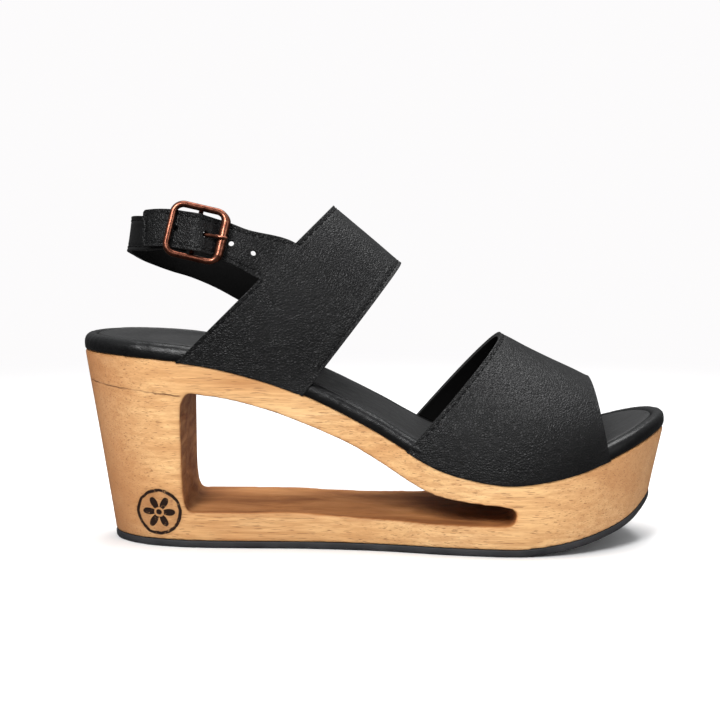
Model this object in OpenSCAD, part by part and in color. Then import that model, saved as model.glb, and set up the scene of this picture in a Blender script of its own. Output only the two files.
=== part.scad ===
// Wedge sandal for a right foot. A one-piece wooden platform with an open waist carries a
// padded leather footbed, a vamp strap, an instep strap and a buckled heel strap.
// +X points to the toe, +Y to the inner side of the foot and +Z up. The origin is on the
// ground, under the middle of the sandal's box.

/* [Platform] */
// Length of the wooden platform's top, heel to toe
sole_length = 250; // [244:1:256]
// Height of the wood's top edge at the heel
heel_height = 82.5; // [80:0.5:86]
// Height of the wood's top edge under the ball of the foot
ball_height = 31.5; // [30:0.5:33]
// Rise of the wood's top edge from the ball to the toe tip
toe_rise = 20; // [17:0.5:22]
// Distance that the heel's back leans in, top to bottom
heel_lean = 12.4; // [10:0.2:14]
// Thickness of the rubber outsole
outsole_t = 3; // [2.5:0.1:3.5]

/* [Footbed] */
// Thickness of the fibre insole board
board_t = 1.8; // [1.5:0.1:2.2]
// Thickness of the foam pad
pad_t = 3.5; // [3:0.1:4]
// Width of the rand's flange on top of the pad
rand_flange = 4.5; // [4:0.1:5.5]

/* [Leather] */
// Thickness of the upper leather
upper_t = 1.2; // [1:0.1:1.3]
// Thickness of the lining leather
lining_t = 0.8; // [0.7:0.1:0.9]
// Width of the strap margin that is tacked under the insole board
margin_w = 10; // [8:0.5:11]
// Diameter of the sewing thread
thread_d = 0.6; // [0.5:0.1:0.8]

/* [Heel strap and buckle] */
// Width of the buckle tab
tab_w = 15.6; // [15:0.1:16]
// Width of the heel strap
strap_w = 14.6; // [14:0.1:15]
// Spacing of the punched holes
hole_pitch = 10.4; // [10:0.1:10.6]
// Diameter of a punched hole
hole_d = 2.4; // [2.2:0.1:2.8]
// Length of the buckle frame along the strap
buckle_l = 25; // [24.5:0.1:25.5]
// Height of the buckle frame across the strap
buckle_h = 24; // [23.5:0.1:24.5]
// Diameter of the frame's wire
wire_d = 2.8; // [2.6:0.1:3]
// Diameter of the centre bar
bar_d = 2; // [1.9:0.1:2.1]
// Width of the prong
prong_d = 1.8; // [1.6:0.1:1.9]

/* [Hidden] */

half_len = sole_length / 2;
leather_t = upper_t + lining_t;
air = 0.04;              // room left between glued faces
rebate = leather_t + 0.9; // depth of the wood's rebate for a strap margin and its tack heads
insole_t = board_t + pad_t + upper_t;
through = 200;           // long enough to pass through the whole sandal

// Half widths of the platform's top every 15 degrees of heel-to-toe angle
outer_side = [0, 13, 23.8, 29.5, 30.5, 30.6, 34, 41, 44.2, 39.5, 28, 13, 0];
inner_side = [0, 13, 23.8, 29.5, 30.2, 28.2, 30, 38, 44.5, 44.5, 36, 20, 0];
side_step = 15;
foot_taper = 0.93;       // width of the platform's bottom over that of its top
bottom_back = -half_len + heel_lean;
bottom_front = half_len - 6;

// Shares of the drop from heel to ball, and of the rise from ball to toe: [x / half_len, share]
drop_shape = [[-1.02, 1], [-0.8, 0.977], [-0.6, 0.93], [-0.4, 0.824], [-0.2, 0.648], [0, 0.407],
  [0.2, 0.133], [0.36, 0.02], [0.5, 0]];
rise_shape = [[0.68, 0.19], [0.84, 0.545], [1.02, 1]];
top_line = concat([for (p = drop_shape) [p[0] * half_len, ball_height + p[1] * (heel_height - ball_height)]],
  [for (p = rise_shape) [p[0] * half_len, ball_height + p[1] * toe_rise]]);
// Lift of the sole's ground face towards the toe
ground_line = [[-half_len, 0], [40, 0], [60, 0], [80, 2.2], [97, 6.3], [110, 11.5], [120, 19.5]];
ground_flat_end = 60;

// Open waist in side view: floor, rounded toe end, ceiling and heel wall
waist_floor = [[-77, 15.4], [-55, 15.4], [-34, 15.6], [-8, 14.4], [27, 13.2], [52, 13]];
waist_nose = [56, 17.2];
waist_nose_r = 4.2;
waist_ceiling = [[52, 21.6], [38.6, 22.9], [25.8, 25.6], [16.4, 30.2], [3.5, 38.3], [-10.5, 46.2],
  [-38.5, 57.6], [-59.4, 63.7], [-77, 66.2]];
waist_back = [[-80.6, 62.5], [-80.4, 40], [-79.6, 19]];

/* Curves and outlines */

function unit(v) = v / norm(v);
function mix(a, b, f) = a + (b - a) * f;
function find_piece(pts, x, i = 0) =
  i >= len(pts) - 2 || x <= pts[i + 1][0] ? i : find_piece(pts, x, i + 1);
function slope_at(pts, i) = let (a = max(i - 1, 0), b = min(i + 1, len(pts) - 1))
  (pts[b][1] - pts[a][1]) / (pts[b][0] - pts[a][0]);
// Smooth value at x through points sorted by x
function curve(pts, x) = let (i = find_piece(pts, x), a = pts[i], b = pts[i + 1], h = b[0] - a[0],
  u = (x - a[0]) / h)
  (2 * u ^ 3 - 3 * u ^ 2 + 1) * a[1] + (u ^ 3 - 2 * u ^ 2 + u) * h * slope_at(pts, i)
  + (3 * u ^ 2 - 2 * u ^ 3) * b[1] + (u ^ 3 - u ^ 2) * h * slope_at(pts, i + 1);
// Smooth point at f, from 0 to 1, through points in space
function path_at(pts, f) = let (n = len(pts) - 1)
  [for (k = [0:2]) curve([for (i = [0:n]) [i / n, pts[i][k]]], f)];

function top_z(x) = curve(top_line, x);
function ground_z(x) = x <= ground_flat_end ? 0 : curve(ground_line, x);
function half_width(side, t) = let (half = side < 0 ? outer_side : inner_side)
  curve([for (i = [0:12]) [i * side_step, half[i]]], t);
// Point of the top outline at heel-to-toe angle t, on the outer (-1) or inner (1) side
function edge_xy(side, t) = [-half_len * cos(t), side * half_width(side, t)];
function outline(step = 6) = concat([for (t = [0:step:180]) edge_xy(-1, t)],
  [for (t = [180 - step:-step:step]) edge_xy(1, t)]);
function inset(pts, d) = let (n = len(pts)) [for (i = [0:n - 1])
  let (t = unit(pts[(i + 1) % n] - pts[(i + n - 1) % n])) pts[i] + d * [-t[1], t[0]]];
function sole_xy(p) = [mix(bottom_back, bottom_front, (p[0] + half_len) / sole_length), p[1] * foot_taper];

// Solid between two heights above the wood's top line, within an outline
module footbed_layer(low, high, pts) {
  xs = [for (x = [-half_len - 2:4:half_len + 4]) x];
  intersection() {
    linear_extrude(through) polygon(pts);
    side_slab(concat([for (x = xs) [x, top_z(x) + low]],
      [for (i = [len(xs) - 1:-1:0]) [xs[i], top_z(xs[i]) + high]]));
  }
}

/* Grids of points made solid */

// Triangles of a closed box-like skin over two equal grids: nu rows of nv points each, twice
function shell_faces(nu, nv) = let (m = nu * nv) concat(
  [for (i = [0:nu - 2], j = [0:nv - 2]) let (a = i * nv + j)
    each [[a, a + 1, a + nv], [a + 1, a + nv + 1, a + nv],
      [m + a, m + a + nv, m + a + 1], [m + a + 1, m + a + nv, m + a + nv + 1]]],
  [for (j = [0:nv - 2], e = [0, nu - 1]) let (a = e * nv + j, b = a + 1)
    each e == 0 ? [[a, m + a, b], [b, m + a, m + b]] : [[a, b, m + a], [b, m + b, m + a]]],
  [for (i = [0:nu - 2], e = [0, nv - 1]) let (a = i * nv + e, b = a + nv)
    each e == 0 ? [[a, b, m + a], [b, m + b, m + a]] : [[a, m + a, b], [b, m + a, m + b]]]);

// Mitred normal of a grid at row i, column j
function grid_normal(g, i, j) = let (
  along = g[min(i + 1, len(g) - 1)][j] - g[max(i - 1, 0)][j],
  n = len(g[i]),
  n1 = unit(cross(g[i][max(j, 1)] - g[i][max(j, 1) - 1], along)),
  n2 = unit(cross(g[i][min(j, n - 2) + 1] - g[i][min(j, n - 2)], along)),
  m = unit(n1 + n2)) m / (m * n1);

// Sheet that lies between depths d0 and d1 under a grid of outer points
module sheet(g, d0, d1) {
  nu = len(g);
  nv = len(g[0]);
  layer = function (d) [for (i = [0:nu - 1], j = [0:nv - 1]) g[i][j] + d * grid_normal(g, i, j)];
  polyhedron(concat(layer(d0), layer(d1)), shell_faces(nu, nv), convexity = 6);
}

// Thread laid along a path: a square tube turned on edge
module thread(path) {
  r = thread_d / 2;
  n = len(path);
  rings = [for (i = [0:n - 1]) let (
    t = unit(path[min(i + 1, n - 1)] - path[max(i - 1, 0)]),
    a = unit(cross(t, abs(t[1]) < 0.9 ? [0, 1, 0] : [0, 0, 1])), b = cross(t, a))
    each [for (q = [0:90:270]) path[i] + r * (cos(q) * a + sin(q) * b)]];
  polyhedron(rings, concat([[0, 1, 2, 3]], [[for (q = [3:-1:0]) 4 * (n - 1) + q]],
    [for (i = [0:n - 2], q = [0:3]) let (a = 4 * i + q, b = 4 * i + (q + 1) % 4)
      each [[a, a + 4, b], [b, a + 4, b + 4]]]));
}

/* Platform */

// Ribs run from the outer top edge round the bottom to the inner top edge
module platform_blank() {
  ts = [for (t = [3:4.35:177]) t];
  spare = 0.4;           // trimmed off, so that the footbed and the outsole lie close
  rib = function (t) let (a = edge_xy(-1, t), b = edge_xy(1, t), c = sole_xy(b), d = sole_xy(a))
    [[a[0], a[1], top_z(a[0]) + spare], [b[0], b[1], top_z(b[0]) + spare],
     [c[0], c[1], outsole_t + ground_z(c[0]) - spare], [d[0], d[1], outsole_t + ground_z(d[0]) - spare]];
  n = len(ts);
  polyhedron([for (t = ts) each rib(t)], concat([[0, 2, 1], [0, 3, 2]],
    [[4 * n - 4, 4 * n - 3, 4 * n - 2], [4 * n - 4, 4 * n - 2, 4 * n - 1]],
    [for (i = [0:n - 2], q = [0:3]) let (a = 4 * i + q, b = 4 * i + (q + 1) % 4)
      each [[a, b, a + 4], [b, b + 4, a + 4]]]));
}

module waist_opening() {
  nose = [for (a = [-60:20:60]) waist_nose + waist_nose_r * [cos(a), sin(a)]];
  side_slab(concat(waist_floor, nose, waist_ceiling, waist_back));
}

// Room in the wood's top for the margins of one strap
module rebates(span) {
  pts = outline();
  difference() {
    footbed_layer(-rebate, 1, inset(pts, -4));
    footbed_layer(-rebate - 1, 2, inset(pts, margin_w + 1));
    for (x = [-through + span[0] - 0.3, span[1] + 1.1]) translate([x, -through / 2, 0]) cube(through);
  }
}

module wood_platform() {
  color("burlywood") difference() {
    platform_blank();
    waist_opening();
    footbed_layer(0, 4, inset(outline(), -6));
    side_slab(concat([[-through, outsole_t]], sole_line(outsole_t), [[through, 0], [-through, 0]]));
    rebates(instep_span);
    rebates(vamp_span);
    tacks(0.02);
  }
}

// Points along the outsole's face at a height above its ground face, heel to toe
function sole_line(h) = concat([[ground_flat_end, h]], [for (x = [62:4:122]) [x, ground_z(x) + h]]);
module side_slab(pts) rotate([90, 0, 0]) translate([0, 0, -through / 2]) linear_extrude(through) polygon(pts);

module outsole() {
  top = sole_line(outsole_t);
  color([0.1, 0.1, 0.11]) intersection() {
    linear_extrude(through) polygon([for (p = outline()) sole_xy(p)]);
    side_slab(concat([[bottom_back - 1, 1], [bottom_back + 3, 0]], sole_line(0),
      [for (i = [len(top) - 1:-1:0]) top[i]], [[bottom_back - 1, outsole_t]]));
  }
}

/* Footbed */

module insole_board() color("tan") footbed_layer(air, board_t, inset(outline(), upper_t + air));
module insole_pad() color("gray") difference() {
  footbed_layer(board_t + air, board_t + pad_t, inset(outline(), upper_t + air));
  strap_room();
}
module insole_sock() color([0.16, 0.16, 0.17])
  footbed_layer(board_t + pad_t + air, insole_t, inset(outline(), rand_flange + air));
module insole_rand() color([0.08, 0.08, 0.09]) difference() {
  footbed_layer(air, insole_t, outline());
  footbed_layer(-1, board_t + pad_t + air, inset(outline(), upper_t));
  footbed_layer(-1, insole_t + 1, inset(outline(), rand_flange));
  strap_room();
}

/* Straps over the foot */

instep_span = [-82, -29]; // along X, at the platform's edge
vamp_span = [14.5, 99];
instep_ridge = [[-17.6, 0, 143.4], [-3, 0, 131.4], [11.6, 0, 118.8]];
vamp_ridge = [[54.3, 0, 89], [72, 0, 79.2], [93, 0, 69.8]];
instep_square = 2.9;     // 2 is an ellipse; more is squarer
vamp_square = 2.35;
strap_rows = 12;

function angle_of(x) = acos(-x / half_len);
// One row of a strap's outer face: margin, corner, arch over the foot, corner, margin
function strap_row(span, ridge, square, f) = let (
  x = mix(span[0], span[1], f), t = angle_of(x), z = top_z(x) - rebate + 0.08,
  out = leather_t + 0.15,
  a = edge_xy(-1, t), b = edge_xy(1, t),
  la = [x, a[1] - out, z], lb = [x, b[1] + out, z],
  mid = (la + lb) / 2, top = path_at(ridge, f),
  arch = [for (q = [0:9:180]) let (c = cos(q), s = sin(q), e = 2 / square)
    mid - (lb - la) / 2 * sign(c) * abs(c) ^ e + (top - mid) * (s < 0.001 ? 0 : s ^ e)])
  concat([la + [0, out + margin_w, 0], la + [0, out, 0]], arch,
    [lb - [0, out, 0], lb - [0, out + margin_w, 0]]);
function strap_grid(span, ridge, square, past = 0) = [for (i = [0:strap_rows])
  strap_row(span, ridge, square, mix(-past, 1 + past, i / strap_rows))];
instep_grid = strap_grid(instep_span, instep_ridge, instep_square);
vamp_grid = strap_grid(vamp_span, vamp_ridge, vamp_square);
// Row of stitches just above a strap's face, near its edge
function seam(g, row, from, to) = [for (j = [from:to])
  g[row][j] - (thread_d / 2 + 0.1) * grid_normal(g, row, j)];
seam_from = 4;
seam_to = len(vamp_grid[0]) - 5;

// Room for both straps where they pass the footbed's edge
module strap_room() {
  sheet(strap_grid(instep_span, instep_ridge, instep_square, 0.004), -1, leather_t + 0.1);
  sheet(strap_grid(vamp_span, vamp_ridge, vamp_square, 0.004), -1, leather_t + 0.1);
}

/* Hinge line of the heel strap, through the ends of the tab and of the strap */

outer_pivot = [-45.2, -26.8, 123.3];
inner_pivot = [-52, 26.8, 103.3];
tab_end_r = 9.2;
hinge_w = unit(inner_pivot - outer_pivot);
hinge_u = unit(cross(hinge_w, [0, 0, 1])); // towards the toe
hinge_v = cross(hinge_u, hinge_w);
swing_down = 20;
swing_up = 8;
module placed(u, v, w, at)
  multmatrix([for (k = [0:2]) [u[k], v[k], w[k], at[k]]]) children();

// Space that the tab's end sweeps through, with room around it
module tab_sweep() placed(-hinge_u, hinge_v, hinge_w, outer_pivot)
  translate([0, 0, -10]) linear_extrude(26) {
    circle(r = tab_end_r + 0.35, $fn = 48);
    for (a = [24 - swing_down:7:24 + swing_up])
      rotate(a) translate([0, -tab_w / 2 - 0.4]) square([30, tab_w + 0.8]);
  }

module instep_cut() difference() {
  children();
  tab_sweep();
  tacks(0.05);
}
module vamp_cut() difference() {
  children();
  tacks(0.05);
}
module vamp_upper() color([0.1, 0.1, 0.11]) vamp_cut() sheet(vamp_grid, 0, upper_t);
module vamp_lining() color([0.2, 0.18, 0.17]) vamp_cut() sheet(vamp_grid, upper_t + air, leather_t);
module vamp_thread() color([0.03, 0.03, 0.03]) thread(seam(vamp_grid, 0, seam_from, seam_to));
module instep_upper() color([0.1, 0.1, 0.11]) instep_cut() sheet(instep_grid, 0, upper_t);
module instep_lining() color([0.2, 0.18, 0.17]) instep_cut() sheet(instep_grid, upper_t + air, leather_t);
module instep_thread() color([0.03, 0.03, 0.03]) thread(seam(instep_grid, strap_rows, seam_from, seam_to));

/* Tacks that hold the strap margins on the wood */

tack_r = 0.7;
tack_l = 8.5;
tack_head_r = 2;
tack_head_t = 0.4;
tack_inset = 6;
tack_xs = concat([for (x = [-75:12:-34]) x], [for (x = [22:14:94]) x]);
// Places each tack square to the wood's top: z = 0 is on the lining
module at_tacks() for (x = tack_xs, side = [-1, 1]) {
  fall = atan(top_z(x - 0.5) - top_z(x + 0.5));
  translate([x, edge_xy(side, angle_of(x))[1] - side * tack_inset, top_z(x)])
    rotate([0, fall, 0]) translate([0, 0, leather_t + 0.12 - (rebate - 0.08) * cos(fall)]) children();
}
module tacks(room) at_tacks() translate([0, 0, -tack_l])
  cylinder(r = tack_r + room, h = tack_l, $fn = 24);
module lasting_tacks() color("silver") at_tacks() {
  translate([0, 0, -tack_l]) cylinder(r = tack_r, h = tack_l, $fn = 24);
  cylinder(r = tack_head_r, h = tack_head_t, $fn = 24);
}

/* Bands: flat leather that follows a line of points, each with a lean towards the foot */

function band_at(pts, leans, f) = let (
  n = len(pts) - 1, p = path_at(pts, f),
  t = unit(path_at(pts, min(f + 0.01, 1)) - path_at(pts, max(f - 0.01, 0))),
  lean = curve([for (i = [0:n]) [i / n, leans[i]]], f),
  h = unit(cross(t, [0, 0, 1])), up = unit(cross(h, t)))
  [p, cos(lean) * up + sin(lean) * h, sin(lean) * up - cos(lean) * h];
// Two-column grid; rows start at the band's first point
function band_grid(pts, leans, width, lift, steps) = [for (i = [0:steps])
  let (b = band_at(pts, leans, i / steps), c = b[0] + lift * b[2])
  [c + width / 2 * b[1], c - width / 2 * b[1]]];
// Layer of a band between two depths below its outer face
module band(pts, leans, width, d0, d1, steps)
  sheet(band_grid(pts, leans, width, leather_t / 2, steps), d0, d1);
module band_thread(pts, leans, width, lift, steps) for (side = [-1, 1])
  thread([for (i = [1:steps - 1]) let (b = band_at(pts, leans, i / steps))
    b[0] + (lift + thread_d / 2 + 0.1) * b[2] + side * (width / 2 - 1.6) * b[1]]);

/* Buckle: u runs along the strap to the toe, v across it and w out from the foot */

buckle_at = [-72.6, -31.8, 133.9];
buckle_lean = 13;
buckle_u = unit([0.973, 0.04, -0.2257]);
buckle_v = unit([0, sin(buckle_lean), cos(buckle_lean)]
  - ([0, sin(buckle_lean), cos(buckle_lean)] * buckle_u) * buckle_u);
buckle_w = cross(buckle_u, buckle_v);
function at_buckle(u, v, w) = buckle_at + u * buckle_u + v * buckle_v + w * buckle_w;
module in_buckle() placed(buckle_u, buckle_v, buckle_w, buckle_at) children();

wire_r = wire_d / 2;
frame_u = buckle_l / 2 - wire_r;
frame_v = buckle_h / 2 - wire_r;
corner_r = 4.4;          // of the wire's centre line
front_bar_r = 2.02;
bar_w = -2.2;            // depth of the centre bar below the frame's middle
bar_r = bar_d / 2;
run = 0.06;              // running clearance round the bar
fold_r = bar_r + run + 0.85;
prong_r = prong_d / 2 - 0.1;
prong_angle = 28.8;      // from the frame's plane to the prong's arm
prong_travel = 7;        // of buckle and prong together

module frame_corner(u, v, a) translate([u * (frame_u - corner_r), v * (frame_v - corner_r), 0]) rotate(a)
  rotate_extrude(angle = 90, $fn = 64) translate([corner_r, 0]) circle(r = wire_r, $fn = 32);
module bar(r, l) translate([0, 0, -l / 2]) cylinder(r = r, h = l, $fn = 32);
module buckle_frame() color([0.45, 0.2, 0.13]) in_buckle() {
  frame_corner(1, 1, 0);
  frame_corner(-1, 1, 90);
  frame_corner(-1, -1, 180);
  frame_corner(1, -1, 270);
  for (side = [-1, 1]) {
    translate([0, side * frame_v, 0]) rotate([0, 90, 0]) bar(wire_r, 2 * (frame_u - corner_r));
    translate([0, side * frame_v, bar_w]) cylinder(r = bar_r - 0.15, h = -bar_w, $fn = 32);
  }
  translate([-frame_u, 0, 0]) rotate([90, 0, 0]) bar(wire_r, 2 * (frame_v - corner_r));
  translate([frame_u, 0, 0]) rotate([90, 0, 0]) bar(front_bar_r, 2 * (frame_v - corner_r) + 0.6);
  translate([0, 0, bar_w]) rotate([90, 0, 0]) bar(bar_r, 2 * frame_v + 2.2);
}

prong_l = 10.9;
prong_tip_l = 3.6;
module buckle_prong() color([0.5, 0.24, 0.16]) in_buckle() translate([0, 0, bar_w]) difference() {
  union() {
    rotate([90, 0, 0]) bar(2, prong_d);
    rotate([0, 90 - prong_angle, 0]) {
      translate([0, 0, 1.4]) cylinder(r = prong_r, h = prong_l - 1.4, $fn = 24);
      translate([0, 0, prong_l]) sphere(r = prong_r, $fn = 24);
      translate([0, 0, prong_l]) rotate([0, prong_angle - 6, 0])
        cylinder(r1 = prong_r, r2 = prong_r * 0.8, h = prong_tip_l, $fn = 24);
    }
  }
  rotate([90, 0, 0]) bar(bar_r + run, prong_d + 1);
}

// Leather loop that carries the centre bar, slotted for the prong
module buckle_fold() color([0.1, 0.1, 0.11]) in_buckle() difference() {
  rotate([90, 0, 0]) translate([0, 0, -strap_w / 2 + 1.4]) linear_extrude(strap_w - 2.8) difference() {
    union() {
      translate([0, bar_w]) circle(r = fold_r, $fn = 32);
      polygon([[-6.5, -4.2], [-0.2, bar_w - fold_r + 0.1], [-1.4, -3.2], [-6.5, -3.5]]);
    }
    translate([0, bar_w]) circle(r = bar_r + run, $fn = 32);
  }
  translate([-2.9, -prong_d / 2 - 0.35, -6]) cube([8, prong_d + 0.7, 8]);
}

tab_pts = [[-36.5, -25.6, 119.6], outer_pivot, [-53.5, -27.6, 127], at_buckle(frame_u, 0, -3.85),
  at_buckle(frame_u / 2, 0, -1.15), at_buckle(0, 0, 1.15), at_buckle(-frame_u / 2, 0, -1.15),
  at_buckle(-frame_u, 0, -3.7), [-89.6, -26.6, 135.6], [-95.4, -22.9, 134.9]];
tab_leans = [18, 18, 16, 14, 13, 13, 13, 13, 12, 11];
tab_steps = 27;
strap_pts = [at_buckle(-2.6, -1, -5.85), at_buckle(-frame_u, -1.2, -5.9), [-94.3, -20.2, 132.8],
  [-101.3, -10.8, 132.2], [-104, 0, 130.8], [-102.2, 9.6, 128.2], [-97.2, 17, 124.4],
  [-88.7, 23.5, 120.4], [-79.5, 26.6, 117.2],
  [-69, 27.6, 112.6], [-60, 27.4, 107.8], inner_pivot, [-46, 26.2, 99.8]];
strap_leans = [13, 13, 12, 10, 8, 8, 8, 8, 8, 8, 8, 8, 8];
strap_steps = 30;

// Bores across the tab: spare holes, the used hole along the prong's arm, and room for the frame
module tab_bores() {
  for (f = [1.5, 2.55, 6.5]) {
    b = band_at(tab_pts, tab_leans, f / 9);
    placed(b[1], cross(b[2], b[1]), b[2], b[0]) cylinder(d = hole_d, h = 8, center = true, $fn = 24);
  }
  in_buckle() translate([0, 0, bar_w]) rotate([0, 90 - prong_angle - prong_travel / 2, 0])
    translate([0, 0, 2.2]) cylinder(r = prong_r + 0.65, h = 8, $fn = 24);
  in_buckle() translate([frame_u, 0, 0]) rotate([90, 0, 0]) bar(front_bar_r + 0.12, 2 * frame_v);
  in_buckle() translate([0.2 - frame_u, 0, -0.75]) rotate([90, 0, 0]) bar(wire_r + 0.5, 2 * frame_v);
}
module tab_cut() difference() {
  children();
  tab_bores();
  placed(-hinge_u, hinge_v, hinge_w, outer_pivot) rotate(24)
    translate([-through, -through / 2, -15]) difference() {
      cube([through, through, 30]);
      translate([through, through / 2, -1]) cylinder(r = tab_end_r, h = 32, $fn = 48);
    }
}
module tab_upper() color([0.1, 0.1, 0.11]) tab_cut()
  band(tab_pts, tab_leans, tab_w, 0, upper_t, tab_steps);
module tab_lining() color([0.2, 0.18, 0.17]) tab_cut()
  band(tab_pts, tab_leans, tab_w, upper_t + air, leather_t, tab_steps);
module tab_thread() color([0.03, 0.03, 0.03]) difference() {
  band_thread(tab_pts, tab_leans, tab_w, leather_t / 2, tab_steps);
  in_buckle() translate([frame_u, 0, 0]) rotate([90, 0, 0]) bar(front_bar_r + 0.35, buckle_h + 4);
  in_buckle() translate([-frame_u, 0, 0]) rotate([90, 0, 0]) bar(wire_r + 0.9, buckle_h + 4);
  placed(-hinge_u, hinge_v, hinge_w, outer_pivot) rotate(24)
    translate([-through, -through / 2, -15]) cube([through, through, 30]);
}
module heel_strap_upper() color([0.1, 0.1, 0.11])
  band(strap_pts, strap_leans, strap_w, 0, upper_t, strap_steps);
module heel_strap_lining() color([0.2, 0.18, 0.17])
  band(strap_pts, strap_leans, strap_w, upper_t + air, leather_t, strap_steps);
module heel_strap_thread() color([0.03, 0.03, 0.03]) difference() {
  band_thread(strap_pts, strap_leans, strap_w, leather_t / 2, strap_steps);
  in_buckle() translate([-24.5, -20, -12]) cube([40, 40, 24]);
  translate(inner_pivot) cube([18, 20, 40], center = true);
}

wood_platform();
outsole();
insole_board();
insole_pad();
insole_sock();
insole_rand();
vamp_upper();
vamp_lining();
vamp_thread();
instep_upper();
instep_lining();
instep_thread();
lasting_tacks();
tab_upper();
tab_lining();
tab_thread();
heel_strap_upper();
heel_strap_lining();
heel_strap_thread();
buckle_fold();
buckle_frame();
buckle_prong();
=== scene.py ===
"""Looks for a right-foot wedge sandal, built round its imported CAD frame.

Lengths are in millimetres until a mesh is made.
"""

import math

import bmesh
import bpy
import numpy as np
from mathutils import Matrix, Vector, noise


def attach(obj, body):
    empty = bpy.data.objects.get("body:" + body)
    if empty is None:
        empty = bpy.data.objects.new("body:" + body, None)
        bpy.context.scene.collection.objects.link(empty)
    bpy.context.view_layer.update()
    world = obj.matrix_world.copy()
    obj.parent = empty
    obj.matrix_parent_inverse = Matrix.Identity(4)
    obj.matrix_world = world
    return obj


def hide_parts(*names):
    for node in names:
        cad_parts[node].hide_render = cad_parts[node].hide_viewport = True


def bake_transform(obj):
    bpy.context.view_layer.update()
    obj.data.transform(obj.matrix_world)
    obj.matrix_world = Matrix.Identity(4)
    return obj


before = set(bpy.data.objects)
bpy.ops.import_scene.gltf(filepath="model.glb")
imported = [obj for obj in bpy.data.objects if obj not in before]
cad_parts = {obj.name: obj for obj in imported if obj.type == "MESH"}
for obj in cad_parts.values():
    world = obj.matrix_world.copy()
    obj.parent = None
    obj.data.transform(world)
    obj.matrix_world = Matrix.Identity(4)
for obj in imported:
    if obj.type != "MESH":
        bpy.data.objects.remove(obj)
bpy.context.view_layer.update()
MM = 0.001
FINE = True

# ---------------------------------------------------------------- shared shape, as in the CAD part

HALF_LEN = 125.0
HEEL_H, BALL_H, TOE_RISE = 82.5, 31.5, 20.0
OUTSOLE_T = 3.0
OUTER_SIDE = [0, 13, 23.8, 29.5, 30.5, 30.6, 34, 41, 44.2, 39.5, 28, 13, 0]
INNER_SIDE = [0, 13, 23.8, 29.5, 30.2, 28.2, 30, 38, 44.5, 44.5, 36, 20, 0]
SIDE_T = np.arange(13) * 15.0
FOOT_TAPER = 0.93
BOTTOM_BACK, BOTTOM_FRONT = -112.6, 119.0
DROP = [[-1.02, 1], [-0.8, 0.977], [-0.6, 0.93], [-0.4, 0.824], [-0.2, 0.648], [0, 0.407],
        [0.2, 0.133], [0.36, 0.02], [0.5, 0]]
RISE = [[0.68, 0.19], [0.84, 0.545], [1.02, 1]]
TOP_LINE = [[x * HALF_LEN, BALL_H + f * (HEEL_H - BALL_H)] for x, f in DROP] + \
           [[x * HALF_LEN, BALL_H + f * TOE_RISE] for x, f in RISE]
GROUND_LINE = [[-125, 0], [40, 0], [60, 0], [80, 2.2], [97, 6.3], [110, 11.5], [120, 19.5]]
GROUND_FLAT_END = 60
WAIST_FLOOR = [[-77, 15.4], [-55, 15.4], [-34, 15.6], [-8, 14.4], [27, 13.2], [52, 13]]
WAIST_CEILING = [[-77, 66.2], [-59.4, 63.7], [-38.5, 57.6], [-10.5, 46.2], [3.5, 38.3], [16.4, 30.2],
                 [25.8, 25.6], [38.6, 22.9], [52, 21.6]]
WAIST_NOSE, WAIST_NOSE_R = np.array([56, 17.2]), 4.2

UPPER_T, LINING_T = 1.2, 0.8
LEATHER_T = UPPER_T + LINING_T
GLUE = 0.02              # gap between the two leathers


def curve(pts, x):
    """Smooth values at x through points sorted by x."""
    p, x = np.asarray(pts, float), np.asarray(x, float)
    n = len(p)
    lo, hi = np.maximum(np.arange(n) - 1, 0), np.minimum(np.arange(n) + 1, n - 1)
    m = (p[hi, 1] - p[lo, 1]) / (p[hi, 0] - p[lo, 0])
    i = np.clip(np.searchsorted(p[:, 0], x) - 1, 0, n - 2)
    h = p[i + 1, 0] - p[i, 0]
    u = (x - p[i, 0]) / h
    return ((2 * u**3 - 3 * u**2 + 1) * p[i, 1] + (u**3 - 2 * u**2 + u) * h * m[i]
            + (3 * u**2 - 2 * u**3) * p[i + 1, 1] + (u**3 - u**2) * h * m[i + 1])


def path_at(pts, f):
    """Smooth points at f, from 0 to 1, through points in space."""
    p = np.asarray(pts, float)
    s = np.linspace(0, 1, len(p))
    return np.stack([curve(np.stack([s, p[:, k]], 1), f) for k in range(p.shape[1])], -1)


def unit(v):
    v = np.asarray(v, float)
    return v / np.maximum(np.linalg.norm(v, axis=-1, keepdims=True), 1e-12)


def smooth(a, b, x):
    u = np.clip((np.asarray(x, float) - a) / (b - a), 0, 1)
    return u * u * (3 - 2 * u)


def top_z(x):
    return curve(TOP_LINE, x)


def ground_z(x):
    return np.where(np.asarray(x) <= GROUND_FLAT_END, 0, curve(GROUND_LINE, x))


def edge_xy(side, t):
    """Points of the platform's top outline at heel-to-toe angle t, in degrees."""
    t = np.asarray(t, float)
    half = curve(np.stack([SIDE_T, OUTER_SIDE if side < 0 else INNER_SIDE], 1), t)
    return np.stack([-HALF_LEN * np.cos(np.radians(t)), side * np.maximum(half, 0)], -1)


def angle_of(x):
    return np.degrees(np.arccos(np.clip(-np.asarray(x, float) / HALF_LEN, -1, 1)))


def ring_outline(n):
    """Closed top outline: the outer side from heel to toe, then the inner side back."""
    t = np.linspace(0, 180, n // 2 + 1)
    return np.concatenate([edge_xy(-1, t), edge_xy(1, t[-2:0:-1])])


def ring_normals(p):
    """Inward normals of a closed outline that runs anticlockwise."""
    t = unit(np.roll(p, -1, 0) - np.roll(p, 1, 0))
    return np.stack([-t[:, 1], t[:, 0]], -1)


# ---------------------------------------------------------------- meshes

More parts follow.
